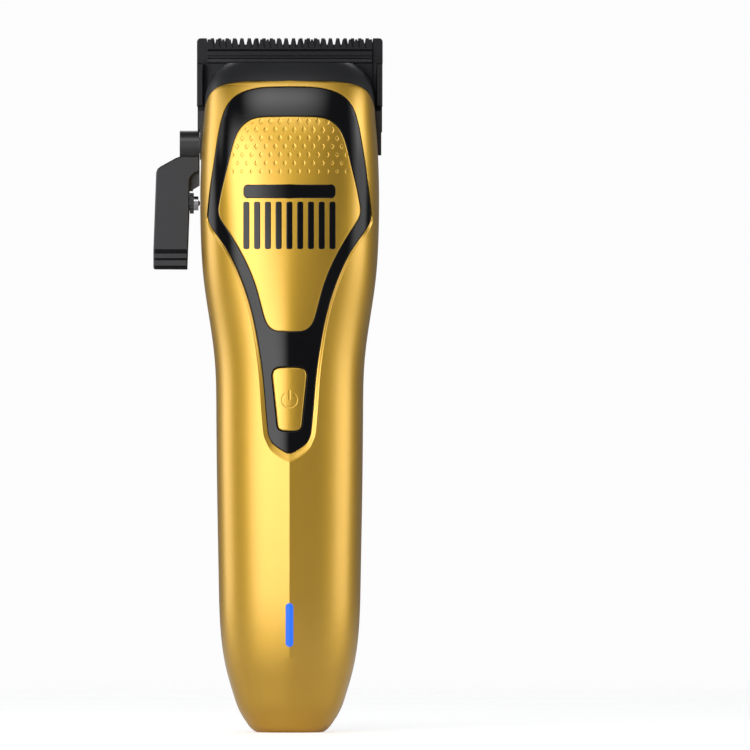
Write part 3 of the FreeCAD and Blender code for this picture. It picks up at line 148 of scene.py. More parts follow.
def line_marks(points):
    """The distance along a line at each of its points."""
    lengths = [math.dist(start, end) for start, end in zip(points, points[1:])]
    return list(accumulate(lengths, initial=0.0))


def run_points(run, step=RUN_STEP):
    """Points along one run: a natural spline through its points, by chord length."""
    marks = line_marks(run)
    along_x = cubic_through(marks, [x for x, _ in run])
    along_z = cubic_through(marks, [z for _, z in run])
    count = max(2, int(marks[-1] / step))
    return [(along_x(marks[-1] * i / count), along_z(marks[-1] * i / count))
            for i in range(count + 1)]


class Outline:
    """The right half of a closed outline, as dense points whose heights only fall."""

    def __init__(self, points):
        falling = [points[0]]
        for x, z in points[1:]:
            if z < falling[-1][1] - LEAST_FALL:
                falling.append((max(x, 0.0), z))
        self.points = falling
        self.down = [-z for _, z in falling]
        self.top, self.bottom = falling[0][1], falling[-1][1]
        self.spans = [(self.top, self.bottom)]

    def offset(self, distance, reach=None):
        """The outline moved outwards. reach(z) can vary the distance along it."""
        moved = []
        for i, (x, z) in enumerate(self.points):
            before = self.points[max(i - 1, 0)]
            after = self.points[min(i + 1, len(self.points) - 1)]
            if i == 0:
                normal = (0.0, 1.0)
            elif i == len(self.points) - 1:
                normal = (0.0, -1.0)
            else:
                dx, dz = after[0] - before[0], after[1] - before[1]
                length = math.hypot(dx, dz)
                normal = (-dz / length, dx / length)
            far = distance * (reach(z) if reach else 1.0)
            moved.append((x + normal[0] * far, z + normal[1] * far))
        return Outline(moved)

    def across(self, z):
        """Half width at a height, or None above and below the outline."""
        if z > self.top + TINY or z < self.bottom - TINY:
            return None
        i = min(max(bisect.bisect_left(self.down, -z), 1), len(self.points) - 1)
        (x1, z1), (x2, z2) = self.points[i - 1], self.points[i]
        share = min(max((z1 - z) / (z1 - z2), 0.0), 1.0)
        return x1 + (x2 - x1) * share


class TwoHoles:
    """An upper and a lower outline that read as one set of half widths."""

    def __init__(self, upper, lower):
        self.parts = (upper, lower)
        self.spans = upper.spans + lower.spans
        self.points = upper.points + lower.points
        self.top, self.bottom = upper.top, lower.bottom

    def across(self, z):
        """Half width of the hole that is at this height, or None between and beyond the holes."""
        widths = [part.across(z) for part in self.parts]
        return next((width for width in widths if width is not None), None)


def outline_from(runs, step=RUN_STEP):
    """One outline from runs that share their end points."""
    points = []
    for run in runs:
        points += run_points(run, step)[1 if points else 0:]
    return Outline(points)


def rounded(outline, size, outwards=True, count=4):
    """Nested outlines that round an edge over with a quarter circle, edge first if outwards."""
    curves = []
    for i in range(count + 1):
        turn = math.pi / 2 * i / count
        inset, fall = size * (1 - math.cos(turn)), size * (1 - math.sin(turn))
        curves.append((outline.offset(inset if outwards else -inset), fall))
    return curves if outwards else list(reversed(curves))


bezel_line = outline_from(BEZEL_RUNS)
plate_line = outline_from(PLATE_RUNS)
button_line = outline_from(BUTTON_RUNS, BUTTON_STEP)
arch_line = outline_from(ARCH_RUNS)

# ---------------------------------------------------------------------------------------------
# Heights of the pieces on the front, over the middle plane
# ---------------------------------------------------------------------------------------------
FRAME_DROP, FRAME_RISE, FRAME_RISE_SPAN = 0.62, 0.5, (124.0, 142.0)
PLATE_RISE, BUTTON_RISE, COMB_RISE = 0.2, 0.25, 0.05
BACKING_DEEP = 0.95
DENT_COUNTS = [9, 10, 11, 12, 13, 14, 13]
DENT_TOP, DENT_FALL, DENT_PITCH, DENT_DEEP = 152.4, 2.07, 2.37, 0.06
DENT_HALF_WIDE, DENT_HALF_TALL, DENT_SHRINK, DENT_STEEP = 0.6, 0.95, 0.3, 3.2
SYMBOL_MIDDLE, SYMBOL_RADIUS, SYMBOL_HALF, SYMBOL_OPEN = 83.05, 1.8, 0.2, math.radians(43)
SYMBOL_SOFT, SYMBOL_DEEP = 0.09, 0.06
BAR_LOW, BAR_HIGH = 83.3, 85.3


def smooth_step(low, high, value):
    """Nought below low, one above high, with a smooth rise between."""
    share = min(max((value - low) / (high - low), 0.0), 1.0)
    return share * share * (3 - 2 * share)


def bezel_drop(z):
    """How deep the frame lies under the casing surface: nearly flush at the top."""
    return FRAME_DROP - FRAME_RISE * smooth_step(*FRAME_RISE_SPAN, z)


def bezel_height(x, z):
    return soft_depth(x, z) - bezel_drop(z)


def dent_depth(x, z):
    """The field of small diamond dents at the top of the face plate."""
    for number, count in enumerate(DENT_COUNTS):
        level = DENT_TOP - DENT_FALL * number
        shrink = 1 - DENT_SHRINK * number / (len(DENT_COUNTS) - 1)
        half_x, half_z = DENT_HALF_WIDE * shrink, DENT_HALF_TALL * shrink
        if abs(z - level) < half_z:
            place = x / DENT_PITCH + (count - 1) / 2
            near = min(max(round(place), 0), count - 1)
            share = abs(place - near) * DENT_PITCH / half_x + abs(z - level) / half_z
            if share < 1:
                return DENT_DEEP * min((1 - share) * DENT_STEEP, 1.0)
    return 0.0


def plate_height(x, z):
    return bezel_height(x, z) + PLATE_RISE - dent_depth(x, z)


def comb_height(x, z):
    return plate_height(x, z) + COMB_RISE


def symbol_share(x, z):
    """One inside the engraved power symbol's lines, nought outside, with a soft edge."""
    up = z - SYMBOL_MIDDLE
    if math.atan2(abs(x), up) > SYMBOL_OPEN:
        ring = abs(math.hypot(x, up) - SYMBOL_RADIUS)
    else:
        ring = math.hypot(abs(x) - SYMBOL_RADIUS * math.sin(SYMBOL_OPEN),
                          up - SYMBOL_RADIUS * math.cos(SYMBOL_OPEN))
    bar = math.hypot(x, z - min(max(z, BAR_LOW), BAR_HIGH))
    return 1 - smooth_step(SYMBOL_HALF, SYMBOL_HALF + SYMBOL_SOFT, min(ring, bar))


def button_height(x, z):
    return bezel_height(x, z) + BUTTON_RISE - SYMBOL_DEEP * symbol_share(x, z)


def backing_height(x, z):
    return bezel_height(x, z) - BACKING_DEEP


# ---------------------------------------------------------------------------------------------
# Mesh building: a surface is rows of equal length, and a column is (x, drop under the surface).
# ---------------------------------------------------------------------------------------------
ROW_GAP, SAME_ROW = 0.04, 0.003
MERGE_DISTANCE = 2e-6


def add_item(name, data):
    """Puts new data into the scene as an object."""
    item = bpy.data.objects.new(name, data)
    bpy.context.scene.collection.objects.link(item)
    return item


def make_object(name, points, faces):
    """A smooth mesh object, with points in one place joined and no empty faces."""
    mesh = bpy.data.meshes.new(name)
    mesh.from_pydata([(x * MM, y * MM, z * MM) for x, y, z in points], [], faces)
    mesh.validate()
    work = bmesh.new()
    work.from_mesh(mesh)
    bmesh.ops.remove_doubles(work, verts=work.verts, dist=MERGE_DISTANCE)
    bmesh.ops.dissolve_degenerate(work, edges=work.edges, dist=TINY)
    bmesh.ops.recalc_face_normals(work, faces=work.faces)
    for face in work.faces:
        face.smooth = True
    work.to_mesh(mesh)
    work.free()
    return add_item(name, mesh)


def row_heights(low, high, step, outlines, gap=ROW_GAP):
    """Row heights from low to high: even steps, and every second point of each outline.

    A row closer to the last one than the gap is left out, unless an outline ends there.
    """
    count = int((high - low) / step)
    heights = [low, high] + [low + (high - low) * i / count for i in range(1, count)]
    for outline in outlines:
        heights += [z for _, z in outline.points[::2] + outline.points[-1:] if low < z < high]
    fixed = {round(z, 4) for outline in outlines for z in (outline.top, outline.bottom)}
    fixed |= {round(low, 4), round(high, 4)}
    rows = []
    for z in sorted(heights):
        if not rows or z - rows[-1] >= gap:
            rows.append(z)
        elif round(z, 4) in fixed:
            if round(rows[-1], 4) not in fixed:
                rows[-1] = z
            elif z - rows[-1] > SAME_ROW:
                rows.append(z)
    return rows


def middle_drop(curves, z):
    """The drop on the middle line, just past the end of nested outlines."""
    first = curves[0][0]
    choices = [(abs(z - span[end]), number, end) for number, span in enumerate(first.spans)
               for end in (0, 1)]
    _, number, end = min(choices)
    ends = sorted((outline.spans[number][end], drop) for outline, drop in curves)
    if z <= ends[0][0]:
        return ends[0][1]
    for (z1, drop1), (z2, drop2) in zip(ends, ends[1:]):
        if z <= z2:
            return drop1 + (drop2 - drop1) * (z - z1) / max(z2 - z1, TINY)
    return ends[-1][1]


def edge_columns(curves, z):
    """The column of each nested outline at a height, on the middle line past an outline's end."""
    columns = []
    for outline, drop in curves:
        x = outline.across(z)
        columns.append((0.0, middle_drop(curves, z)) if x is None else (x, drop))
    return columns


def in_order(columns):
    """The same columns, none of them short of the one before or past the last."""
    last = columns[-1][0]
    places = accumulate((min(x, last) for x, _ in columns), max)
    return [(x, drop) for x, (_, drop) in zip(places, columns)]


def grid_faces(rows, columns, start=0):
    """Faces between the points of a grid, the first of them at start."""
    faces = []
    for r in range(rows - 1):
        for c in range(columns - 1):
            a = start + r * columns + c
            faces.append((a, a + 1, a + columns + 1, a + columns))
    return faces


def mirrored(points, faces):
    """Adds the left half to a right half."""
    count = len(points)
    both = points + [(-x, y, z) for x, y, z in points]
    return both, faces + [tuple(i + count for i in reversed(face)) for face in faces]


def ribbon(points, faces, line, deep):
    """A wall from an edge line down to the same line set deeper."""
    start = len(points)
    points += line + [(x, y + deep, z) for x, y, z in line]
    count = len(line)
    for i in range(start, start + count - 1):
        faces.append((i, i + 1, i + count + 1, i + count))


def ring_piece(name, inner, outer, steps, height, walls, step=0.7, extra=(), centre=0.0):
    """A band on the casing's front, between nested inner curves and nested outer curves.

    With no inner curves it is a full plate. height(x, z) gives its surface, walls the depth of its
    edges, steps the columns between the curves, and extra some more rows.
    """
    rows = row_heights(outer[-1][0].bottom, outer[-1][0].top, step,
                       [outline for outline, _ in inner + outer])
    rows = sorted(set(rows) | set(extra))
    lines, at_hole = [], []
    for z in rows:
        first, last = edge_columns(inner, z), edge_columns(outer, z)
        start, end = (first[-1][0] if first else 0.0), last[0][0]
        between = []
        for i in range(steps):
            share = (i + 1) / (steps + 1) if first else i / steps
            between.append((start + (end - start) * share, 0.0 if end > 0 else last[0][1]))
        lines.append([(x, drop, z) for x, drop in in_order(first + between + last)])
        at_hole.append(bool(inner) and inner[0][0].across(z) is not None)
    points, faces = [], []
    for sign in (1, -1):
        made = [[(centre + sign * x, -(height(centre + sign * x, z) - drop), z)
                 for x, drop, z in line] for line in lines]
        half = grid_faces(len(rows), len(lines[0]), len(points))
        points += [point for line in made for point in line]
        faces += half if sign == 1 else [tuple(reversed(face)) for face in half]
        ribbon(points, faces, [line[-1] for line in made], walls)
        for inside, run in groupby(zip(at_hole, made), key=lambda pair: pair[0]):
            if inside:
                ribbon(points, faces, [line[0] for _, line in run], walls)
    return make_object(name, points, faces)


# ---------------------------------------------------------------------------------------------
# Front of the casing, from the frame's edge over its bevel to the sides and the nose cap's arch
# ---------------------------------------------------------------------------------------------
STRIP_PROFILE = [(0.0, 1.0), (0.05, 0.985), (0.35, 0.66), (0.65, 0.334), (0.93, 0.03), (1.0, 0.0),
                 (1.1, 0.0)]
STRIP_TIP = [
    [(6.7, 76.0), (6.3, 73.6), (5.6, 72.0), (5.0, 70.8), (4.1, 69.8)],
    [(4.1, 69.8), (2.5, 68.6), (0, 67.35)],
]
STRIP_TIP_TOP, STRIP_TIP_STEPS = 76.0, 30
STRIP_FINE, STRIP_SIDE, STRIP_EXTRA = 0.12, 0.62, 0.48
STRIP_FINE_SPAN, STRIP_EXTRA_SPAN = (126.8, 129.4), (76.0, 108.0)
ARCH_EDGE = [(0.9, 0.0), (0.35, 0.0), (0.15, 0.03), (0.04, 0.12), (0.0, 0.25)]
ARCH_START = (155.2, 158.5)
ARCH_WALL, FRAME_WALL = 1.5, 1.2
SIDE_STEPS, FRONT_STEP, FRONT_GAP = 26, 0.8, 0.12
CREASE_LOW, CREASE_HIGH = 18, 70


def strip_width(z):
    """Width of the bevel beside the frame: a fine edge at the top, then wider down the sides."""
    side = STRIP_SIDE + STRIP_EXTRA * (1 - smooth_step(*STRIP_EXTRA_SPAN, z))
    return STRIP_FINE + (side - STRIP_FINE) * (1 - smooth_step(*STRIP_FINE_SPAN, z))


def along(points, count):
    """Evenly spaced points on a line, without its first."""
    marks = line_marks(points)
    found = []
    for step in range(1, count + 1):
        mark = step / count * marks[-1]
        i = min(max(bisect.bisect_right(marks, mark), 1), len(points) - 1)
        part = (mark - marks[i - 1]) / (marks[i] - marks[i - 1])
        found.append(tuple(a + (b - a) * part for a, b in zip(points[i - 1], points[i])))
    return found


def strip_curves():
    """The bevel's nested outlines, from the frame's edge out to the bevel's own pointed outline."""
    sides = [point for point in bezel_line.points if point[1] > STRIP_TIP_TOP]
    outer = bezel_line.offset(1.0, strip_width).points[:len(sides)]
    count = len(outer)
    inner = bezel_line.points[:count] + along(bezel_line.points[count - 1:], STRIP_TIP_STEPS)
    tip = outer[-1:] + [point for run in STRIP_TIP for point in run_points(run)]
    outer = outer + along(tip, STRIP_TIP_STEPS)
    curves = []
    for share, fall in STRIP_PROFILE:
        curves.append((Outline([(x1 + (x2 - x1) * share, z1 + (z2 - z1) * share)
                                for (x1, z1), (x2, z2) in zip(inner, outer)]), fall))
    return curves


def front_columns(strip, arch, z):
    """The columns of the casing's front at a height: bevel, side, and rounded edge of the arch."""
    half, square = half_at(z), square_at(z)
    found = [(half if z < outline.bottom else outline.across(z), fall) for outline, fall in arch]
    first = next(column for column in found if column[0] is not None)
    rim, share = found[-1][0], smooth_step(*ARCH_START, z)
    tops = []
    for x, fall in found:
        x, fall = first if x is None else (x, fall)
        tops.append((min(rim + (x - rim) * share, half), fall * share))
    crown = 0.0 if found[0][0] is not None else middle_drop(arch, z)
    columns = [(x, crown or fall * bezel_drop(z)) for x, fall in edge_columns(strip, z)]
    start, end = columns[-1][0], tops[0][0]
    low = math.asin(min((start / half) ** (square / 2), 1.0))
    high = math.asin(min((end / half) ** (square / 2), 1.0))
    for i in range(1, SIDE_STEPS + 1):
        x = half * math.sin(low + (high - low) * i / (SIDE_STEPS + 1)) ** (2 / square)
        fall = crown + (first[1] - crown) * (x / end) ** 2 if crown and end > 0 else 0.0
        columns.append((x, fall))
    return in_order(columns + tops)


def build_front():
    """The front half of the casing, open where the frame sits and under the nose cap."""
    strip = strip_curves()
    arch = [(arch_line.offset(-inset), fall) for inset, fall in ARCH_EDGE]
    rows = row_heights(0.0, arch_line.top, FRONT_STEP, [outline for outline, _ in strip] + [arch_line],
                       FRONT_GAP)
    lines = [[(x, -(front_depth(x, z) - fall), z) for x, fall in front_columns(strip, arch, z)]
             for z in rows]
    points = [point for line in lines for point in line]
    faces = grid_faces(len(rows), len(lines[0]))
    frame_edge = [line[0] for z, line in zip(rows, lines) if bezel_line.across(z) is not None]
    ribbon(points, faces, frame_edge, FRAME_WALL)
    ribbon(points, faces, [line[-1] for line in lines if line[-1][1] < -ARCH_WALL], ARCH_WALL)
    return make_object("front_casing", *mirrored(points, faces))


def mark_crease(item, low, high):
    """Keeps the ridge on the middle line crisp."""
    mesh = item.data
    for edge in mesh.edges:
        ends = [mesh.vertices[i].co for i in edge.vertices]
        if all(abs(p.x) < TINY and low * MM < p.z < high * MM for p in ends):
            edge.use_edge_sharp = True


front = build_front()
mark_crease(front, CREASE_LOW, CREASE_HIGH)

# ---------------------------------------------------------------------------------------------
# Frame, face plate and button
# ---------------------------------------------------------------------------------------------
PLATE_GAP, BUTTON_GAP, FRAME_GAP = 0.09, 0.22, 0.07
HOLE_EDGE, FRAME_EDGE, PLATE_EDGE, BUTTON_EDGE = 0.12, 0.22, 0.2, 0.3
DENT_ROW_LOW, DENT_ROW_STEP, DENT_ROW_COUNT = 139.1, 0.08, 180

plate_hole = rounded(plate_line.offset(PLATE_GAP), HOLE_EDGE)
button_hole = rounded(button_line.offset(BUTTON_GAP), HOLE_EDGE)
hole_curves = [(TwoHoles(upper, lower), fall)
               for (upper, fall), (lower, _) in zip(plate_hole, button_hole)]
frame_piece = ring_piece("face_frame", hole_curves,
                         rounded(bezel_line.offset(-FRAME_GAP), FRAME_EDGE, False),
                         14, bezel_height, walls=0.9, step=0.8)
dent_rows = [DENT_ROW_LOW + DENT_ROW_STEP * i for i in range(DENT_ROW_COUNT)]
plate_piece = ring_piece("decorated_plate", [], rounded(plate_line, PLATE_EDGE, False),
                         200, plate_height, walls=1.0, extra=dent_rows)
button_piece = ring_piece("push_button", [], rounded(button_line, BUTTON_EDGE, False),
                          60, button_height, walls=1.2, step=0.075)

# A dark sheet behind the frame and the plate, so nothing shows through the gaps round them.
BACKING_LOW, BACKING_REACH, BACKING_TIP = 96.0, 0.5, 0.1
backing_sides = [point for point in bezel_line.offset(BACKING_REACH).points if point[1] > BACKING_LOW]
backing_line = Outline(backing_sides + [(0.0, BACKING_LOW - BACKING_TIP)])
backing_piece = ring_piece("front_backing", [], [(backing_line, 0.0)],
                           24, backing_height, walls=0.1, step=1.5)

# ---------------------------------------------------------------------------------------------
# Emblem: a plain comb, laid into the face plate
# ---------------------------------------------------------------------------------------------
COMB_HALF, COMB_LOW, COMB_HIGH, COMB_CORNER, COMB_EDGE = 11.5, 133.2, 136.8, 1.2, 0.06
TEETH, TOOTH_WIDTH, TEETH_LOW, TOOTH_GAP, TOOTH_CORNER = 9, 1.55, 120.6, 0.75, 0.45
COMB_STEPS, TOOTH_STEPS = 16, 4
BLOCK_CROWN, CORNER_STEPS = 0.02, 6


def block_outline(half, low, high, corner):
    """The right half of an upright rounded block's outline, whose flat ends fall very slightly."""
    crown = min(BLOCK_CROWN, corner / 4)
    points = [(0.0, high), (half - corner, high - crown)]
    for i in range(1, CORNER_STEPS + 1):
        turn = math.pi / 2 * i / CORNER_STEPS
        points.append((half - corner + corner * math.sin(turn),
                       high - crown - corner + corner * math.cos(turn)))
    points.append((half, (low + high) / 2))
    for i in range(CORNER_STEPS + 1):
        turn = math.pi / 2 * i / CORNER_STEPS
        points.append((half - corner + corner * math.cos(turn),
                       low + crown + corner - corner * math.sin(turn)))
    points.append((0.0, low))
    return Outline(points)


def comb_piece(name, outline, steps, centre=0.0):
    return ring_piece(name, [], rounded(outline, COMB_EDGE, False, 2), steps, comb_height, walls=0.4,
                      step=1.0, centre=centre)


comb_pieces = [comb_piece("comb_back", block_outline(COMB_HALF, COMB_LOW, COMB_HIGH, COMB_CORNER),
                          COMB_STEPS)]
tooth_line = block_outline(TOOTH_WIDTH / 2, TEETH_LOW, COMB_LOW - TOOTH_GAP, TOOTH_CORNER)
for tooth in range(TEETH):
    middle = -COMB_HALF + TOOTH_WIDTH / 2 + tooth * (2 * COMB_HALF - TOOTH_WIDTH) / (TEETH - 1)
    comb_pieces.append(comb_piece(f"comb_tooth_{tooth + 1}", tooth_line, TOOTH_STEPS, middle))

# ---------------------------------------------------------------------------------------------
# Painted shade in the grooves of the lever's grip, as dark bars, and the rounded ridge across the moving blade
# ---------------------------------------------------------------------------------------------
GRIP_SHADE_BANDS = [(119.65, 120.65), (117.93, 118.47), (115.75, 116.55)]
GRIP_SIDES, GRIP_DEPTHS, GRIP_EDGE = (-33.85, -25.7), (1.15, 1.72), 0.15
RIDGE_HALF, RIDGE_DEPTHS, RIDGE_BAND, RIDGE_EDGE = 20.4, (5.5, 5.9), (167.6, 168.2), 0.19


def eased_bar(name, sides, depths, heights, edge):
    """A bar between two sides, two depths and two heights, with rounded edges."""
    mesh = bpy.data.meshes.new(name)
    work = bmesh.new()
    bmesh.ops.create_cube(work, size=1.0)
    for corner in work.verts:
        corner.co = Vector([(low + (share + 0.5) * (high - low)) * MM
                            for (low, high), share in zip((sides, depths, heights), corner.co)])
    bmesh.ops.bevel(work, geom=work.edges, offset=edge * MM, segments=3, affect="EDGES")
    work.to_mesh(mesh)
    work.free()
    return add_item(name, mesh)


# Black bars in the grip's grooves: painted shade, where the grooves fall dark
painted_shade_grip_bars = [eased_bar(f"painted_shade_grip_bar_{number}", GRIP_SIDES, GRIP_DEPTHS, band, GRIP_EDGE)
                for number, band in enumerate(GRIP_SHADE_BANDS, 1)]
blade_ridge = eased_bar("blade_ridge", (-RIDGE_HALF, RIDGE_HALF), RIDGE_DEPTHS, RIDGE_BAND, RIDGE_EDGE)

# ---------------------------------------------------------------------------------------------
# Materials
# ---------------------------------------------------------------------------------------------
BROAD_NOISE, ROUGHNESS_SPREAD, RELIEF_HEIGHT = 45.0, 0.14, 0.00005


def add_node(tree, kind, values=None, **settings):
    """A new node with its settings and the values of its sockets."""
    node = tree.nodes.new(kind)
    for setting, value in settings.items():
        setattr(node, setting, value)
    set_sockets(node, values or {})
    return node


def set_sockets(node, values):
    for socket, value in values.items():
        node.inputs[socket].default_value = value


def surface(name, colour, metallic=0.0, roughness=0.4, grain=900, bump=0.0, vary=0.0,
            streak=(1, 1, 1), coat=0.0, coat_roughness=0.1, extra=None):
    """A shader whose roughness, colour and relief carry fine procedural noise."""
    item = bpy.data.materials.new(name)
    item.use_nodes = True
    tree = item.node_tree
    link = tree.links.new
    shader = tree.nodes["Principled BSDF"]
    set_sockets(shader, {"Metallic": metallic, "Coat Weight": coat, "Coat Roughness": coat_roughness,
                         **(extra or {})})
    where = add_node(tree, "ShaderNodeTexCoord")
    stretch = add_node(tree, "ShaderNodeMapping", {"Scale": streak})
    fine = add_node(tree, "ShaderNodeTexNoise", {"Scale": grain, "Detail": 4.0})
    broad = add_node(tree, "ShaderNodeTexNoise", {"Scale": BROAD_NOISE, "Detail": 3.0})
    tint = add_node(tree, "ShaderNodeMapRange", {"To Min": 1 - vary, "To Max": 1 + vary})
    shade = add_node(tree, "ShaderNodeVectorMath", {0: colour}, operation="SCALE")
    rough = add_node(tree, "ShaderNodeMapRange", {"To Min": roughness * (1 - ROUGHNESS_SPREAD),
                                                  "To Max": roughness * (1 + ROUGHNESS_SPREAD)})
    link(where.outputs["Object"], stretch.inputs["Vector"])
    link(stretch.outputs["Vector"], fine.inputs["Vector"])
    link(where.outputs["Object"], broad.inputs["Vector"])
    link(broad.outputs["Fac"], tint.inputs["Value"])
    link(tint.outputs["Result"], shade.inputs["Scale"])
    link(shade.outputs["Vector"], shader.inputs["Base Color"])
    link(fine.outputs["Fac"], rough.inputs["Value"])
    link(rough.outputs["Result"], shader.inputs["Roughness"])
    if bump:
        relief = add_node(tree, "ShaderNodeBump", {"Strength": bump, "Distance": RELIEF_HEIGHT})
        link(fine.outputs["Fac"], relief.inputs["Height"])
        link(relief.outputs["Normal"], shader.inputs["Normal"])
    return item


GOLD = (0.69, 0.4, 0.032)
COAT_IOR = {"Coat IOR": 1.7}
LENS_GLOW = {"Emission Color": (0.013, 0.159, 1.0, 1), "Emission Strength": 1.0}
LOOKS = {
    "gold_casing": dict(colour=GOLD, metallic=1.0, roughness=0.42, grain=2600, bump=0.03, vary=0.03,
                        coat=0.75, coat_roughness=0.25, extra=COAT_IOR),
    "gold_trim": dict(colour=GOLD, metallic=1.0, roughness=0.38, grain=2600, bump=0.015, vary=0.02,
                      coat=0.75, coat_roughness=0.2, extra=COAT_IOR),
    "black_frame": dict(colour=(0.002, 0.002, 0.0025), roughness=0.1, grain=300, vary=0.1,
                        extra={"Specular IOR Level": 0.36}),
    "black_satin": dict(colour=(0.012, 0.012, 0.013), roughness=0.38, grain=2200, bump=0.12, vary=0.1),
    "lever_grey": dict(colour=(0.05, 0.05, 0.053), metallic=0.7, roughness=0.34, grain=2400,
                       bump=0.1, vary=0.08),
    "blade_black": dict(colour=(0.03, 0.03, 0.032), metallic=0.9, roughness=0.3, grain=800,
                        bump=0.08, vary=0.1, streak=(1, 14, 14)),
    "steel": dict(colour=(0.5, 0.5, 0.51), metallic=1.0, roughness=0.28, bump=0.08, vary=0.04,
                  streak=(1, 10, 10)),
    "chrome": dict(colour=(0.34, 0.34, 0.36), metallic=1.0, roughness=0.22, vary=0.03),
    "brass": dict(colour=(0.62, 0.42, 0.16), metallic=1.0, roughness=0.28, bump=0.05, vary=0.05),
    "gold_contact": dict(colour=(0.75, 0.5, 0.18), metallic=1.0, roughness=0.18, vary=0.03),
    "board_green": dict(colour=(0.01, 0.09, 0.04), roughness=0.35, grain=700, bump=0.1, vary=0.12,
                        coat=0.3),
    "chip_black": dict(colour=(0.015, 0.015, 0.016), roughness=0.5, grain=2500, bump=0.2, vary=0.1),
    "cell_wrap": dict(colour=(0.02, 0.16, 0.12), roughness=0.3, grain=500, bump=0.05, vary=0.05,
                      coat=0.3),
    "inner_plastic": dict(colour=(0.05, 0.05, 0.055), roughness=0.5, grain=2200, bump=0.15, vary=0.08),
    "magnet": dict(colour=(0.06, 0.06, 0.062), metallic=0.6, roughness=0.5, grain=1500, bump=0.2,
                   vary=0.1),
    "copper_wire": dict(colour=(0.35, 0.02, 0.015), vary=0.05),
    "blue_lens": dict(colour=(0.004, 0.02, 0.1), roughness=0.45, vary=0.05, extra=LENS_GLOW),
}
looks = {name: surface(name, **look) for name, look in LOOKS.items()}
slot_of = {row["node"]: row["material_slot"] for row in frame["record"]["subparts"]}
for node, item in frame["nodes"].items():
    item.data.materials.clear()
    item.data.materials.append(looks[slot_of[node]])


def finish_piece(item, body, slot, *nodes):
    """Gives a piece its material and slot, and lets it stand for CAD nodes on their body."""
    item.data.materials.append(looks[slot])
    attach(item, body)
    if nodes:
        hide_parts(*nodes)


finish_piece(front, "casing", "gold_casing", "front_shell")
finish_piece(frame_piece, "casing", "black_frame", "bezel")
finish_piece(plate_piece, "casing", "gold_trim", "face_plate")
finish_piece(comb_pieces[0], "casing", "black_frame", "emblem")
for piece in comb_pieces[1:]:
    finish_piece(piece, "casing", "black_frame")
finish_piece(button_piece, "button", "gold_trim", "power_button")
# The grip's black bars are painted shade on the lever
for piece in painted_shade_grip_bars:
    finish_piece(piece, "lever", "black_frame")
finish_piece(blade_ridge, "cutter", "lever_grey")
finish_piece(backing_piece, "casing", "black_satin")

# ---------------------------------------------------------------------------------------------
# Studio, in metres: a pale floor that fades into a white surround, soft cards, and the camera
# ---------------------------------------------------------------------------------------------
WHITE = (1, 1, 1, 1)
FLOOR_RADIUS, FLOOR_POINTS, FLOOR_FADE = 1.1, 96, (0.15, 0.95)
FLOOR_COLOUR, FLOOR_LIFT = (0.8, 0.8, 0.805, 1), 0.5
SKY_BRIGHTNESS, SKY_LIGHT_COLOUR, SKY_LIGHT = 0.98, (0.92, 0.95, 1.0, 1), 0.15
TARGET = Vector((0.0, 0.0, 0.09))
CAMERA_PLACE, CAMERA_LENS, CAMERA_CLIP = (0.02132, -5.2075, 0.08925), 1000, (0.01, 50)


def floor_disc():
    """A round floor whose rim fades out. It glows a little, but only to the camera."""
    mesh = bpy.data.meshes.new("studio_floor")
    turns = [math.tau * i / FLOOR_POINTS for i in range(FLOOR_POINTS)]
    rim = [(FLOOR_RADIUS * math.cos(turn), FLOOR_RADIUS * math.sin(turn), 0) for turn in turns]
    mesh.from_pydata(rim, [], [tuple(range(FLOOR_POINTS))])
    item = add_item("studio_floor", mesh)
    white = bpy.data.materials.new("studio_white")
    white.use_nodes = True
    tree = white.node_tree
    link = tree.links.new
    shader = tree.nodes["Principled BSDF"]
    set_sockets(shader, {"Base Color": FLOOR_COLOUR, "Roughness": 0.6, "Emission Color": WHITE})
    ray = add_node(tree, "ShaderNodeLightPath")
    lift = add_node(tree, "ShaderNodeMapRange", {"To Max": FLOOR_LIFT})
    where = add_node(tree, "ShaderNodeTexCoord")
    reach = add_node(tree, "ShaderNodeVectorMath", operation="LENGTH")
    fade = add_node(tree, "ShaderNodeMapRange",
                    {"From Min": FLOOR_FADE[0], "From Max": FLOOR_FADE[1], "To Min": 1.0, "To Max": 0.0},
                    interpolation_type="SMOOTHSTEP")
    link(ray.outputs["Is Camera Ray"], lift.inputs["Value"])
    link(lift.outputs["Result"], shader.inputs["Emission Strength"])
    link(where.outputs["Object"], reach.inputs[0])
    link(reach.outputs["Value"], fade.inputs["Value"])
    link(fade.outputs["Result"], shader.inputs["Alpha"])
    mesh.materials.append(white)


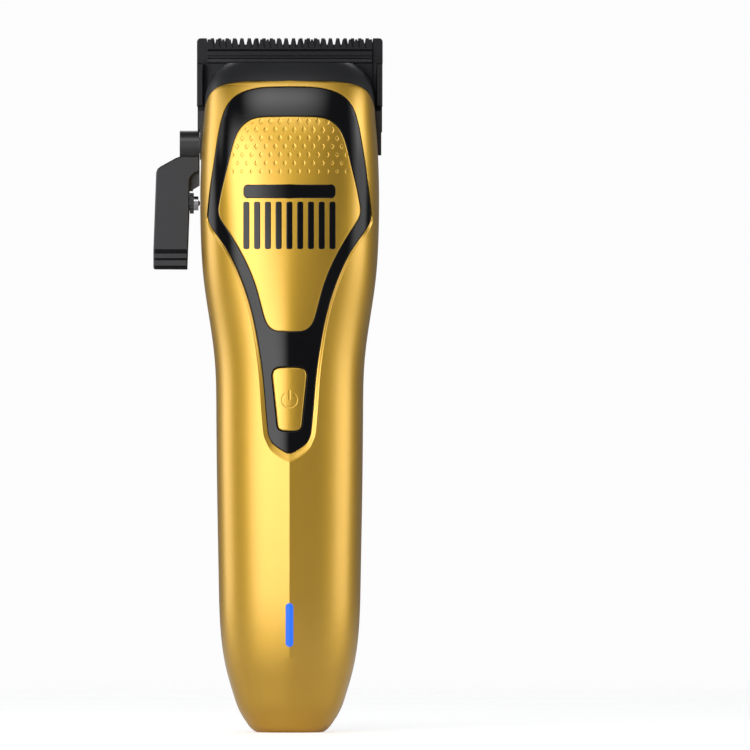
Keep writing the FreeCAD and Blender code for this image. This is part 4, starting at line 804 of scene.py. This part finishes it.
def soft_light(name, place, width, height, glow, edge=0.35):
    """A rectangular card, given the brightness of its face, that dims towards its edges."""
    data = bpy.data.lights.new(name, "AREA")
    data.shape = "RECTANGLE"
    data.size, data.size_y = width, height
    data.energy = glow * math.pi * width * height
    data.use_nodes = True
    tree = data.node_tree
    link = tree.links.new
    on_card = add_node(tree, "ShaderNodeNewGeometry")
    split = add_node(tree, "ShaderNodeSeparateXYZ")
    both = add_node(tree, "ShaderNodeMath", operation="MULTIPLY")
    link(on_card.outputs["Parametric"], split.inputs[0])
    for axis in (0, 1):
        from_edge = add_node(tree, "ShaderNodeMath", {1: 0.5}, operation="PINGPONG")
        fade = add_node(tree, "ShaderNodeMapRange", {"From Max": edge},
                        interpolation_type="SMOOTHSTEP")
        link(split.outputs[axis], from_edge.inputs[0])
        link(from_edge.outputs[0], fade.inputs["Value"])
        link(fade.outputs["Result"], both.inputs[axis])
    link(both.outputs[0], tree.nodes["Emission"].inputs["Strength"])
    item = add_item(name, data)
    item.location = place
    item.rotation_euler = (TARGET - Vector(place)).to_track_quat("-Z", "Y").to_euler()


def white_surround():
    """White to the camera, and a dim cool light to all else."""
    world = bpy.data.worlds.new("studio")
    bpy.context.scene.world = world
    world.use_nodes = True
    tree = world.node_tree
    link = tree.links.new
    seen = tree.nodes["Background"]
    set_sockets(seen, {"Color": WHITE, "Strength": SKY_BRIGHTNESS})
    dim = add_node(tree, "ShaderNodeBackground", {"Color": SKY_LIGHT_COLOUR, "Strength": SKY_LIGHT})
    ray = add_node(tree, "ShaderNodeLightPath")
    mixed = add_node(tree, "ShaderNodeMixShader")
    link(ray.outputs["Is Camera Ray"], mixed.inputs["Fac"])
    link(dim.outputs["Background"], mixed.inputs[1])
    link(seen.outputs["Background"], mixed.inputs[2])
    link(mixed.outputs["Shader"], tree.nodes["World Output"].inputs["Surface"])


def front_camera():
    """A long lens straight in front."""
    data = bpy.data.cameras.new("camera")
    data.lens = CAMERA_LENS
    data.sensor_width = 36
    data.clip_start, data.clip_end = CAMERA_CLIP
    item = add_item("camera", data)
    item.location = CAMERA_PLACE
    item.rotation_euler = (math.pi / 2, 0, 0)
    bpy.context.scene.camera = item


floor_disc()
soft_light("key_card", (-0.47, -0.97, 0.16), 1.05, 1.5, 3.7)
soft_light("left_card", (-1.0, 0.2, 0.3), 1.0, 1.5, 2.1)
soft_light("right_card", (1.0, -0.3, 0.3), 1.1, 1.5, 2.1)
soft_light("left_high_card", (-0.95, -0.35, 0.6), 0.5, 0.8, 1.3)
soft_light("right_high_card", (0.95, -0.35, 0.6), 0.5, 0.8, 1.5)
soft_light("top_card", (-0.08, -0.8, 1.0), 0.9, 0.9, 4.4, edge=0.5)
soft_light("back_card", (0.0, 1.0, 0.8), 1.2, 0.8, 2.0)
white_surround()
front_camera()
bpy.context.scene.view_settings.view_transform = "Standard"
